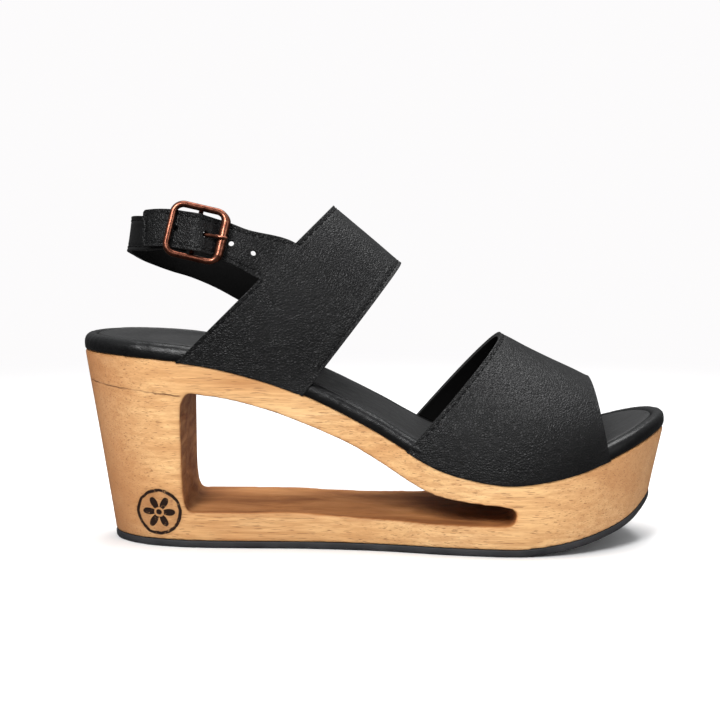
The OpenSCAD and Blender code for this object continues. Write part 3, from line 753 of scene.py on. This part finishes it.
def make_footbed():
    n = 520 if FINE else 260
    base = ring_outline(n)
    normal = ring_normals(base)
    for _ in range(6):
        normal = unit(normal + np.roll(normal, 1, 0) + np.roll(normal, -1, 0))
    x0 = base[:, 0]
    arc = np.concatenate([[0], np.cumsum(np.linalg.norm(np.diff(base, axis=0), axis=1))])

    def ring(d, h):
        p = base + (np.asarray(d) * np.ones(n))[:, None] * normal
        return np.concatenate([p, (top_z(p[:, 0]) + h)[:, None]], 1)

    # rand: leather rolled round the pad's edge, finely wrinkled where it turns
    prof = [(1.6, 0.05), (0.35, 0.05), (0.02, 0.5), (-0.10, 1.4), (-0.10, 2.6), (0.05, 3.8), (0.5, 5.0),
            (1.3, 6.0), (2.4, 6.65), (3.6, 6.9), (4.6, 6.75), (5.2, 6.2), (5.6, 5.2), (5.7, 3.8)]
    wr = np.array([noise.noise(Vector((s / 2.2, 0.3, 0.7))) for s in arc])
    wr2 = np.array([noise.noise(Vector((s / 5.5, 4.3, 1.7))) for s in arc])
    heel_turn = 0.35 + 0.65 * (1 - smooth(-105, -70, x0))
    v = []
    for k, (d, h) in enumerate(prof):
        g = math.sin(math.pi * min(max((k - 2) / 8, 0), 1))
        amp = g * heel_turn
        rows = ring(d + amp * (0.22 * wr + 0.16 * wr2), h - 0.12 * amp * wr + 0.1 * g * wr2)
        v += rows.tolist()
    ob = new_object("footbed_rand", v, ring_faces(len(prof), n), [RAND])
    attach(ob, "shoe")
    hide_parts("insole_rand")

    # sock: the padded top, a little crowned, tucked down against the rand
    v = []
    for d, h in [(5.55, 4.6), (5.5, 5.6), (5.75, 6.3), (6.5, 6.75), (7.8, 7.0)]:
        v += ring(d, h).tolist()
    m = len(v) // n
    faces = ring_faces(m, n)

    def crown(p, f):
        x, y = p[0], p[1]
        side = math.sin(math.pi * f)
        cup = 1.0 * math.exp(-((x + 92) / 26) ** 2) * math.exp(-(y / 17) ** 2)
        ball = 0.9 * math.exp(-((x - 62) / 24) ** 2) * math.exp(-(y / 26) ** 2)
        rip = 0.12 * noise.noise(Vector((x / 16, y / 16, 2.0)))
        return [x, y, float(top_z(x)) + 7.0 + 0.35 * side - 0.7 * cup - 0.7 * ball + rip]

    new, f2 = fill_inside(v, (m - 1) * n, n, 56 if FINE else 24, crown)
    v += new
    faces += f2
    ob = new_object("footbed_sock", v, faces, [SOCK])
    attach(ob, "shoe")
    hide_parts("insole_sock")


# ---------------------------------------------------------------- straps over the foot

# for each: x of its back and front edges at the footbed, points along its ridge, squareness of its arch
INSTEP = (-82, -29), [[-17.6, 0, 143.4], [-3, 0, 131.4], [11.6, 0, 118.8]], 2.9
VAMP = (14.5, 99), [[54.3, 0, 89], [72, 0, 79.2], [93, 0, 69.8]], 2.35
STITCH_INSET = 1.75      # from an edge to its row of stitches
STITCH_SINK = 0.12       # how far a stitch's middle lies under the leather's face


def strap_points(strap, f, q, drop=0.4):
    """Outer face of a strap; f runs from back edge to front, q is the arch angle from the outer side.

    drop is how far its ends lie under the top of the wood.
    """
    span, ridge, square = strap
    f, q = np.broadcast_arrays(np.asarray(f, float), np.asarray(q, float))
    x = span[0] + (span[1] - span[0]) * f
    t = angle_of(x)
    z = top_z(x) - drop
    a, b = edge_xy(-1, t)[..., 1] - 0.5, edge_xy(1, t)[..., 1] + 0.5
    mid = np.stack([x, (a + b) / 2, z], -1)
    half = np.stack([np.zeros_like(x), (b - a) / 2, np.zeros_like(x)], -1)
    top = path_at(ridge, f)
    c, s = np.cos(np.radians(q)), np.clip(np.sin(np.radians(q)), 1e-6, 1)
    across, up = np.sign(c) * np.abs(c) ** (2 / square), s ** (2 / square)
    return mid - half * across[..., None] + (top - mid) * up[..., None]


def arch_angles(strap, count):
    """Arch angles spaced evenly along the strap's middle row."""
    q = np.concatenate([[0], np.geomspace(0.02, 8, 60), np.linspace(8.5, 171.5, 600),
                        180 - np.geomspace(8, 0.02, 60), [180]])
    p = strap_points(strap, 0.5, q)
    s = np.concatenate([[0], np.cumsum(np.linalg.norm(np.diff(p, axis=0), axis=1))])
    return np.interp(np.linspace(0, s[-1], count), s, q)


def tuck(g):
    """Turns a strap's two ends in under the footbed: adds two columns at each end of a grid."""
    first, last = g[:, :1], g[:, -1:]
    inward = np.array([0, 1.0, 0])
    a = [first + inward * d + np.array([0, 0, h]) for d, h in ((4, -0.1), (1.2, -0.25))]
    b = [last - inward * d + np.array([0, 0, h]) for d, h in ((1.2, -0.25), (4, -0.1))]
    return np.concatenate([*a, g, *b], 1)


def edge_profile(d):
    """Height of the leather near a stitched edge: a folded lip, then a valley at the stitches."""
    lip = 0.22 * (1 - smooth(0.3, 1.5, d))
    return lip - 0.20 * np.exp(-((d - STITCH_INSET) / 0.55) ** 2) + 0.05 * np.exp(-((d - 3.2) / 0.8) ** 2)


def distance_to(v, line):
    best = np.full(len(v), 1e9)
    for i in range(0, len(line), 64):
        d = np.linalg.norm(v[:, None] - line[None, i:i + 64], axis=2).min(1)
        best = np.minimum(best, d)
    return best


def two_leathers(name, v, faces, lift, normals, face, under, bevel):
    """A strap's outer leather and its lining; lift is the relief on its face, under thickens the lining."""
    between = lift * 0.3 - UPPER_T
    return (thick(f"{name}_leather", v, faces, lift, between, [face, LINING, RAW_EDGE], normals),
            thick(f"{name}_inside", v, faces, between - GLUE, lift * 0.2 - LEATHER_T - under,
                  [LINING, LINING, RAW_EDGE], normals, bevel))


def resample(line, step=0.5):
    s = np.concatenate([[0], np.cumsum(np.linalg.norm(np.diff(line, axis=0), axis=1))])
    at = np.linspace(0, s[-1], max(int(s[-1] / step), 2))
    return np.stack([np.interp(at, s, line[:, k]) for k in range(3)], -1)


def make_vamp():
    rows, cols = (76, 200) if FINE else (40, 100)
    f = np.linspace(0, 1, rows)
    q = arch_angles(VAMP, cols)
    g = strap_points(VAMP, f[:, None], q[None])
    back, front = resample(g[0]), resample(g[-1])
    g = tuck(g)
    nv = g.shape[1]
    v = g.reshape(-1, 3)
    faces = grid_faces(rows, nv)
    n = surface_normals(v, faces)
    soft = 0.35 * noise_at(v, 30, 1.3) + 0.12 * noise_at(v, 11, 7.7)
    bow = 0.5 * np.sin(np.pi * np.repeat(f, nv)) * smooth(40, 60, v[:, 2])
    d0, d1 = distance_to(v, back), distance_to(v, front)
    lift = edge_profile(d0) + 0.12 * (1 - smooth(0.2, 1.0, d1))
    lift = lift + (soft + bow) * smooth(0, 6, d0) * smooth(0, 6, d1)
    up, lin = two_leathers("vamp", v, faces, lift, n, UPPER, 0.1, 0.25)
    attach(up, "shoe")
    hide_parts("vamp_upper")
    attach(lin, "shoe")
    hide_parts("vamp_lining")
    st = stitch_rows("vamp_stitches", [seam_row(VAMP, 0.0, np.linspace(6, 174, 400))], THREAD)
    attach(st, "shoe")
    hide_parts("vamp_thread")


def seam_row(strap, f0, q):
    """Points and normals of a row of stitches beside the edge at f0."""
    step = 0.01 if f0 < 0.5 else -0.01
    p0 = strap_points(strap, f0, q)
    d = strap_points(strap, f0 + step, q) - p0
    n = unit(np.cross(d if step > 0 else -d, np.gradient(p0, axis=0)))
    return p0 + unit(d) * STITCH_INSET - n * STITCH_SINK, n


# ---------------------------------------------------------------- buckle's frame of axes, and bands

OUTER_PIVOT, INNER_PIVOT = np.array([-45.2, -26.8, 123.3]), np.array([-52, 26.8, 103.3])
BUCKLE_AT = np.array([-72.6, -31.8, 133.9])
BUCKLE_LEAN = math.radians(13)
BU = unit([0.973, 0.04, -0.2257])
_v = np.array([0, math.sin(BUCKLE_LEAN), math.cos(BUCKLE_LEAN)])
BV = unit(_v - (_v @ BU) * BU)
BW = np.cross(BU, BV)
FRAME_U, FRAME_V, WIRE_R, BAR_W, BAR_R = 11.1, 10.6, 1.4, -2.2, 1.0


def at_buckle(u, v, w):
    u, v, w = np.broadcast_arrays(u, v, w)
    return BUCKLE_AT + u[..., None] * BU + v[..., None] * BV + w[..., None] * BW


TAB_PTS = [[-36.5, -25.6, 119.6], OUTER_PIVOT, [-53.5, -27.6, 127], at_buckle(FRAME_U, 0, -3.85),
           at_buckle(FRAME_U / 2, 0, -1.15), at_buckle(0, 0, 1.15), at_buckle(-FRAME_U / 2, 0, -1.15),
           at_buckle(-FRAME_U, 0, -3.7), [-89.6, -26.6, 135.6], [-95.4, -22.9, 134.9]]
TAB_LEANS = [18, 18, 16, 14, 13, 13, 13, 13, 12, 11]
STRAP_PTS = [at_buckle(-2.6, -1, -5.85), at_buckle(-FRAME_U, -1.2, -5.9), [-94.3, -20.2, 132.8],
             [-101.3, -10.8, 132.2], [-104, 0, 130.8], [-102.2, 9.6, 128.2], [-97.2, 17, 124.4],
             [-88.7, 23.5, 120.4], [-79.5, 26.6, 117.2], [-69, 27.6, 112.6], [-60, 27.4, 107.8],
             INNER_PIVOT, [-46, 26.2, 99.8]]
STRAP_LEANS = [13, 13, 12, 10, 8, 8, 8, 8, 8, 8, 8, 8, 8]
TAB_W, STRAP_W = 15.6, 14.6
HOLE_R = 1.15
PRONG_ANGLE = math.radians(28.8)


def band_axes(pts, leans, f):
    """Centre, across and outward directions of a band at f."""
    f = np.asarray(f, float)
    p = path_at(pts, f)
    t = unit(path_at(pts, np.minimum(f + 0.01, 1)) - path_at(pts, np.maximum(f - 0.01, 0)))
    lean = np.radians(curve(np.stack([np.linspace(0, 1, len(leans)), leans], 1), f))[..., None]
    h = unit(np.cross(t, [0, 0, 1.0]))
    up = unit(np.cross(h, t))
    return p, np.cos(lean) * up + np.sin(lean) * h, np.sin(lean) * up - np.cos(lean) * h


def corner_cut(f, length, width, r=1.6):
    """Half width of a band near its square end, with small rounded corners; length is in millimetres."""
    d = (1 - f) * length
    k = np.clip(1 - d / r, 0, 1)
    return width / 2 - r * (1 - np.sqrt(np.clip(1 - k * k, 0, 1)))


# ---------------------------------------------------------------- instep strap and tab, one leather

TAB_ROOT_LOW, TAB_ROOT_HIGH = 114.6, 129.2


def instep_q_at(z):
    q = np.linspace(1, 89, 400)
    return float(np.interp(z, strap_points(INSTEP, 0, q)[:, 2], q))


def tab_points(s, v):
    """Outer face of the tab: s runs from the strap's back edge to the tail, v from lower edge to upper."""
    s, v = np.broadcast_arrays(np.asarray(s, float), np.asarray(v, float))
    shape = s.shape
    s, v = s.ravel(), v.ravel()
    q1, q2 = instep_q_at(TAB_ROOT_LOW), instep_q_at(TAB_ROOT_HIGH)
    q = q1 + (q2 - q1) * v
    p0 = strap_points(INSTEP, 0, q)
    d0 = unit(p0 - strap_points(INSTEP, 0.03, q))
    join = 0.27            # share of the tab's path where the band proper starts
    turn = 0.14            # share of s given to the join

    def band(f):
        c, up, out = band_axes(TAB_PTS, TAB_LEANS, f)
        half = corner_cut(f, 66, TAB_W)
        return c + out * LEATHER_T / 2 + up * ((2 * v - 1) * half)[:, None]

    p1 = band(np.full_like(s, join))
    d1 = unit(band(np.full_like(s, join + 0.02)) - p1)
    length = np.linalg.norm(p1 - p0, axis=1, keepdims=True)
    u = np.clip(s / turn, 0, 1)[:, None]
    h = ((2 * u**3 - 3 * u**2 + 1) * p0 + (u**3 - 2 * u**2 + u) * length * d0
         + (3 * u**2 - 2 * u**3) * p1 + (u**3 - u**2) * length * d1)
    b = band(join + (1 - join) * np.clip((s - turn) / (1 - turn), 0, 1))
    return np.where((s < turn)[:, None], h, b).reshape(*shape, 3)


def punch(ob, tools):
    """Cuts each tool's shape out of ob."""
    for k, t in enumerate(tools):
        m = ob.modifiers.new(f"punch{k}", "BOOLEAN")
        m.operation, m.object, m.solver = "DIFFERENCE", t, "EXACT"
    return apply_modifiers(ob)


def rod(name, a, b, r, sides=28):
    path = np.linspace(a, b, 2)
    v, f = tube(path, r, r, [0.3, 0.2, 0.9], sides)
    return new_object(name, v, f, [RAW_EDGE])


def make_instep():
    rows, cols = (64, 220) if FINE else (34, 110)
    q1, q2 = instep_q_at(TAB_ROOT_LOW), instep_q_at(TAB_ROOT_HIGH)
    q = arch_angles(INSTEP, cols)
    i1, i2 = int(np.argmin(abs(q - q1))), int(np.argmin(abs(q - q2)))
    q[i1:i2 + 1] = np.linspace(q1, q2, i2 - i1 + 1)
    f = np.linspace(0, 1, rows)
    g = strap_points(INSTEP, f[:, None], q[None])
    g = tuck(g)
    i1, i2 = i1 + 2, i2 + 2
    nv = g.shape[1]
    v = [g.reshape(-1, 3)]
    faces = [grid_faces(rows, nv)]
    k = i2 - i1 + 1
    tab_rows = 110 if FINE else 60
    s = np.linspace(0, 1, tab_rows + 1)[1:]
    s = np.where(s > 0.96, 0.96 + 0.04 * np.sin((s - 0.96) / 0.04 * np.pi / 2), s)
    tg = tab_points(s[:, None], np.linspace(0, 1, k)[None])
    start = rows * nv
    v.append(tg.reshape(-1, 3))
    idx = np.concatenate([np.arange(i1, i2 + 1)[None], start + np.arange(tab_rows * k).reshape(tab_rows, k)])
    tf = np.stack([idx[1:, :-1], idx[:-1, :-1], idx[:-1, 1:], idx[1:, 1:]], -1).reshape(-1, 4)
    faces.append(tf)
    v, faces = np.concatenate(v), np.concatenate(faces)
    n = surface_normals(v, faces)
    back = np.concatenate([g[0, 2:i1 + 1], tg[:, 0], tg[-1], tg[::-1, -1], g[0, i2:-2]])
    back, front = resample(back), resample(g[-1, 2:-2])
    d0, d1 = distance_to(v, back), distance_to(v, front)
    far = smooth(0, 6, d0) * smooth(0, 6, d1)
    soft = (0.30 * noise_at(v, 26, 2.9) + 0.10 * noise_at(v, 10, 5.1)) * far
    on_tab = np.arange(len(v)) >= start
    soft = np.where(on_tab, 0.2 * soft, soft)
    lift = edge_profile(d0) + edge_profile(d1) + soft
    lift = np.where(on_tab, np.minimum(lift, 0.12), lift)

    tools = []
    for fr in (1.5, 2.55, 6.5):
        c, _, out = band_axes(TAB_PTS, TAB_LEANS, np.array(fr / 9))
        tools.append(rod(f"punch_{fr}", c - out * 5, c + out * 5, HOLE_R))
    a = PRONG_ANGLE + math.radians(3.5)
    bar = at_buckle(0.0, 0.0, BAR_W)
    arm = math.cos(a) * BU + math.sin(a) * BW
    tools.append(rod("punch_prong", bar + arm * 2.2, bar + arm * 10.2, 1.42))
    up, lin = two_leathers("instep", v, faces, lift, n, UPPER, 0.05, 0.2)
    for o in (up, lin):
        punch(o, tools)
        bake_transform(o)
    for t in tools:
        bpy.data.objects.remove(t)
    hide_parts("instep_upper", "tab_upper")
    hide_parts("instep_lining", "tab_lining")

    # stitches: front edge, and the back edge with the way round the tab
    front_row = seam_row(INSTEP, 1.0, np.linspace(5, 175, 500))
    back_low = seam_row(INSTEP, 0.0, np.linspace(5, q1 - 1.0, 160))
    back_high = seam_row(INSTEP, 0.0, np.linspace(q2 + 1.0, 175, 400))
    e = STITCH_INSET / TAB_W
    ss = np.linspace(0.02, 0.965, 240)

    def tab_row(sv, vv):
        p = tab_points(sv, vv)
        ps = tab_points(np.minimum(sv + 0.01, 1), vv) - tab_points(np.maximum(sv - 0.01, 0), vv)
        pv = tab_points(sv, np.minimum(vv + 0.05, 1)) - tab_points(sv, np.maximum(vv - 0.05, 0))
        nn = unit(np.cross(pv, ps))
        return p - nn * STITCH_SINK, nn

    low = tab_row(ss, np.full_like(ss, e))
    high = tab_row(ss[::-1], np.full_like(ss, 1 - e))
    tail = tab_row(np.full(40, 0.967), np.linspace(e, 1 - e, 40))
    lines = [front_row, tuple(np.concatenate(x) for x in zip(back_low, low, tail, high, back_high))]
    st = stitch_rows("instep_stitches", lines, THREAD)
    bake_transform(st)
    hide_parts("instep_thread", "tab_thread")


# ---------------------------------------------------------------- heel strap

def make_heel_strap():
    rows, cols = (190, 19) if FINE else (100, 13)
    f, w = np.linspace(0, 1, rows), np.linspace(-1, 1, cols)
    c, rise, out = band_axes(STRAP_PTS, STRAP_LEANS, f)
    half = STRAP_W / 2 - 6.5 * smooth(0.955, 1.0, f) ** 2
    g = c[:, None] + out[:, None] * LEATHER_T / 2 + rise[:, None] * (half[:, None] * w)[..., None]
    v = g.reshape(-1, 3)
    faces = grid_faces(rows, cols)[:, ::-1]
    n = surface_normals(v, faces)
    line = np.concatenate([g[:, 0], g[::-1, -1]])
    d = distance_to(v, resample(line))
    lift = edge_profile(d) + 0.12 * noise_at(v, 14, 3.3) * smooth(0, 4, d)
    lift = np.where(np.repeat(f, cols) < 0.2, np.minimum(lift, 0.05), lift)
    up, lin = two_leathers("heel_strap", v, faces, lift, n, SMOOTH, 0, 0.2)
    for ob, node, slot in ((up, "heel_strap_upper", "upper_leather"),
                           (lin, "heel_strap_lining", "lining_leather")):
        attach(ob, "heel_strap")
        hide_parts(node)
    fs = np.linspace(0.155, 0.93, 400)
    c, rise, out = band_axes(STRAP_PTS, STRAP_LEANS, fs)
    lines = [(c + out * (LEATHER_T / 2 - STITCH_SINK) + rise * s * (STRAP_W / 2 - 1.7), out) for s in (-1, 1)]
    st = stitch_rows("heel_strap_stitches", lines, THREAD)
    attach(st, "heel_strap")
    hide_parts("heel_strap_thread")


# ---------------------------------------------------------------- buckle

def joined(parts):
    """One list of vertices and one of faces from several."""
    v, faces = [], []
    for pv, pf in parts:
        faces += [[i + len(v) for i in f] for f in pf]
        v += pv.tolist()
    return np.array(v), faces


def make_buckle():
    r = 4.4              # corners' radius
    hu, hv = FRAME_U - r, FRAME_V - r
    seg = 26             # points to each side and to each corner
    share = np.arange(seg)[:, None] / seg
    corners = [(-hu, hv), (-hu, -hv), (hu, -hv), (hu, hv)]
    pts = []
    for k, (cx, cy) in enumerate(corners):
        a0 = math.radians(90 + 90 * k)
        out = r * np.array([math.cos(a0), math.sin(a0)])
        pts.append((np.array(corners[k - 1]) + out) * (1 - share) + (np.array([cx, cy]) + out) * share)
        a = a0 + share * math.pi / 2
        pts.append(np.concatenate([cx + r * np.cos(a), cy + r * np.sin(a)], 1))
    p = np.concatenate(pts)
    frontness = smooth(5.5, 11.0, p[:, 0]) * (1 - smooth(7.0, 10.4, np.abs(p[:, 1])))
    ra = WIRE_R + 0.62 * frontness
    rb = WIRE_R * (1 - 0.06 * (1 - frontness)) + 0.55 * frontness
    path = at_buckle(p[:, 0], p[:, 1], np.zeros(len(p)))
    v1, f1 = tube(path, rb, ra, BW, 24, closed=True)
    bar_path = at_buckle(np.zeros(5), np.linspace(-FRAME_V - 0.6, FRAME_V + 0.6, 5), np.full(5, BAR_W))
    parts = [(v1, f1), tube(bar_path, BAR_R, BAR_R, BW, 20)]
    for s in (-1, 1):
        lug = at_buckle(np.zeros(4), np.full(4, s * FRAME_V), np.linspace(BAR_W, 0.1, 4))
        parts.append(tube(lug, 0.95, 0.95, BV, 16))
    allv, faces = joined(parts)
    ob = new_object("buckle_ring", allv, faces, [COPPER])
    loc = (allv - BUCKLE_AT) @ np.stack([BU, BV, BW], 1)
    ends = 0.65 * smooth(4, 11, loc[:, 0]) + 0.35 * (1 - smooth(-11, -8, loc[:, 0]))
    wear = smooth(-0.3, 1.3, loc[:, 2]) * (0.35 + ends)
    # painted highlight along the back bar's inner edge, carried with the wear
    inner_edge_highlight = (1 - smooth(-10.2, -9.2, loc[:, 0])) * smooth(-11.4, -10.4, loc[:, 0])
    paint(ob, "WearAndHighlight", np.clip(wear + 0.3 * inner_edge_highlight, 0, 1))
    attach(ob, "buckle")
    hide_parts("buckle_frame")

    # prong: a loop round the centre bar, a flattened arm through the hole and a rounded tip on the front bar
    a = PRONG_ANGLE
    pr = np.array([[1.15, BAR_W + 0.45], [3, BAR_W + 3 * math.tan(a)], [6, BAR_W + 6 * math.tan(a)],
                   [8.4, BAR_W + 8.4 * math.tan(a) + 0.02], [9.7, 3.05], [11.2, 3.32], [12.6, 3.2],
                   [13.3, 3.05]])
    q = path_at(np.concatenate([pr, np.zeros((len(pr), 1))], 1), np.linspace(0, 1, 40))
    path = at_buckle(q[:, 0], np.zeros(40), q[:, 1])
    s = np.linspace(0, 1, 40)
    taper = (1 - 0.28 * s) * np.sqrt(np.clip(1 - np.clip((s - 0.93) / 0.07, 0, 1) ** 2, 0.02, 1))
    v1, f1 = tube(path, 0.85 * taper, 0.74 * taper, BV, 18)
    th = np.radians(np.arange(40) * 9)
    ring = at_buckle(1.55 * np.cos(th), np.zeros(40), BAR_W + 1.55 * np.sin(th))
    v2, f2 = tube(ring, 0.86, 0.44, BV, 14, closed=True)
    ob = new_object("buckle_tongue", *joined([(v1, f1), (v2, f2)]), [COPPER])
    paint(ob, "WearAndHighlight", np.concatenate([np.repeat(0.55 + 0.35 * s, 18), np.full(len(v2), 0.2)]))
    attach(ob, "prong")
    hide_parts("buckle_prong")


def make_fold():
    """Leather loop round the centre bar, slotted for the prong."""
    a, r = np.radians(np.linspace(-95, 212, 34)), 1.86
    ring = np.stack([r * np.cos(a), BAR_W + r * np.sin(a)], 1)
    leaf = np.stack([np.linspace(-6.4, -0.5, 8), np.linspace(-4.12, -4.06, 8)], 1)
    line = np.concatenate([leaf, ring])
    v, f, count = [], [], 0
    for lo, hi, pts in ((-5.9, -1.35, line), (1.35, 5.9, line), (-1.35, 1.35, leaf[:5])):
        g = at_buckle(pts[:, None, 0], np.linspace(lo, hi, 9)[None], pts[:, None, 1])
        f.append(grid_faces(len(pts), 9, count)[:, ::-1])
        v.append(g.reshape(-1, 3))
        count += len(v[-1])
    v, f = np.concatenate(v), np.concatenate(f)
    ob = thick("buckle_loop", v, f, 0, -0.76, [SMOOTH, LINING, RAW_EDGE], None, 0.15)
    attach(ob, "heel_strap")
    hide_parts("buckle_fold")


def finish_cad_nodes():
    """Materials for the CAD nodes whose shapes stay."""
    for node, mat in (("insole_board", FIBRE), ("insole_pad", FOAM), ("lasting_tacks", STEEL)):
        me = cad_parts[node].data
        me.materials.clear()
        me.materials.append(mat)


# ---------------------------------------------------------------- stage

BACKDROP = (0.975, 0.965, 0.97, 1)


def backdrop_mix(tree, plain, glow, out, fac=None):
    """To the camera, a plain glow in place of the shader called plain, by fac if there is one."""
    nodes, link = tree.nodes, tree.links.new
    glow = nodes.new(glow)
    glow.inputs["Color"].default_value = BACKDROP
    share = nodes.new("ShaderNodeLightPath").outputs["Is Camera Ray"]
    if fac is not None:
        both = nodes.new("ShaderNodeMath")
        both.operation = "MULTIPLY"
        link(fac, both.inputs[0])
        link(share, both.inputs[1])
        share = both.outputs[0]
    mix = nodes.new("ShaderNodeMixShader")
    for k, source in enumerate((share, plain.outputs[0], glow.outputs[0])):
        link(source, mix.inputs[k])
    link(mix.outputs[0], nodes[out].inputs["Surface"])


def make_stage():
    side = 4000
    floor = new_object("floor", [[-side, -side, 0], [side, -side, 0], [side, side, 0], [-side, side, 0]],
                       [[0, 1, 2, 3]], [])
    m = bpy.data.materials.new("floor")
    m.use_nodes = True
    nodes, link = m.node_tree.nodes, m.node_tree.links.new
    b = nodes["Principled BSDF"]
    b.inputs["Base Color"].default_value = (0.96, 0.955, 0.955, 1)
    b.inputs["Roughness"].default_value = 0.9
    b.inputs["Specular IOR Level"].default_value = 0.1
    # far from the sandal the floor fades into the same pale backdrop as the world
    far = nodes.new("ShaderNodeVectorMath")
    far.operation = "LENGTH"
    fade = nodes.new("ShaderNodeMapRange")
    fade.inputs["From Min"].default_value, fade.inputs["From Max"].default_value = 0.22, 0.62
    fade.interpolation_type = "SMOOTHSTEP"
    link(nodes.new("ShaderNodeTexCoord").outputs["Object"], far.inputs[0])
    link(far.outputs["Value"], fade.inputs["Value"])
    backdrop_mix(m.node_tree, b, "ShaderNodeEmission", "Material Output", fade.outputs["Result"])
    floor.data.materials.append(m)
    floor.visible_glossy = False

    # the world lights from above and is darker towards the horizon
    world = bpy.data.worlds.new("studio")
    world.use_nodes = True
    nodes, link = world.node_tree.nodes, world.node_tree.links.new
    axes = nodes.new("ShaderNodeSeparateXYZ")
    sky = nodes.new("ShaderNodeValToRGB")
    low, high = sky.color_ramp.elements
    low.position, low.color = 0.0, (0.10, 0.10, 0.10, 1)
    high.position, high.color = 0.9, (0.62, 0.63, 0.64, 1)
    link(nodes.new("ShaderNodeTexCoord").outputs["Generated"], axes.inputs[0])
    link(axes.outputs["Z"], sky.inputs["Fac"])
    link(sky.outputs["Color"], nodes["Background"].inputs["Color"])
    backdrop_mix(world.node_tree, nodes["Background"], "ShaderNodeBackground", "World Output")
    bpy.context.scene.world = world

    def area(name, at, to, size, power):
        light = bpy.data.lights.new(name, "AREA")
        light.shape, light.size, light.energy = "DISK", size, power
        o = bpy.data.objects.new(name, light)
        bpy.context.scene.collection.objects.link(o)
        o.location = at
        o.rotation_euler = (Vector(to) - Vector(at)).to_track_quat("-Z", "Y").to_euler()

    area("key", (-0.35, -0.95, 0.80), (0, 0, 0.08), 0.45, 12.5)
    area("top", (0.10, 0.20, 1.1), (0, 0, 0.06), 0.8, 12)
    area("fill", (0.9, -0.8, 0.35), (0, 0, 0.06), 0.6, 2)
    cam = bpy.data.cameras.new("camera")
    cam.lens, cam.sensor_width, cam.clip_start, cam.clip_end = 91.65, 36, 0.01, 50
    o = bpy.data.objects.new("camera", cam)
    bpy.context.scene.collection.objects.link(o)
    o.location = (0.020, -0.785, 0.1815)
    o.rotation_euler = (Vector((-0.006, 0, 0.077)) - o.location).to_track_quat("-Z", "Y").to_euler()
    bpy.context.scene.camera = o
    bpy.context.scene.view_settings.view_transform = "Standard"


make_platform()
make_outsole()
make_footbed()
make_vamp()
make_instep()
make_heel_strap()
make_buckle()
make_fold()
finish_cad_nodes()
make_stage()
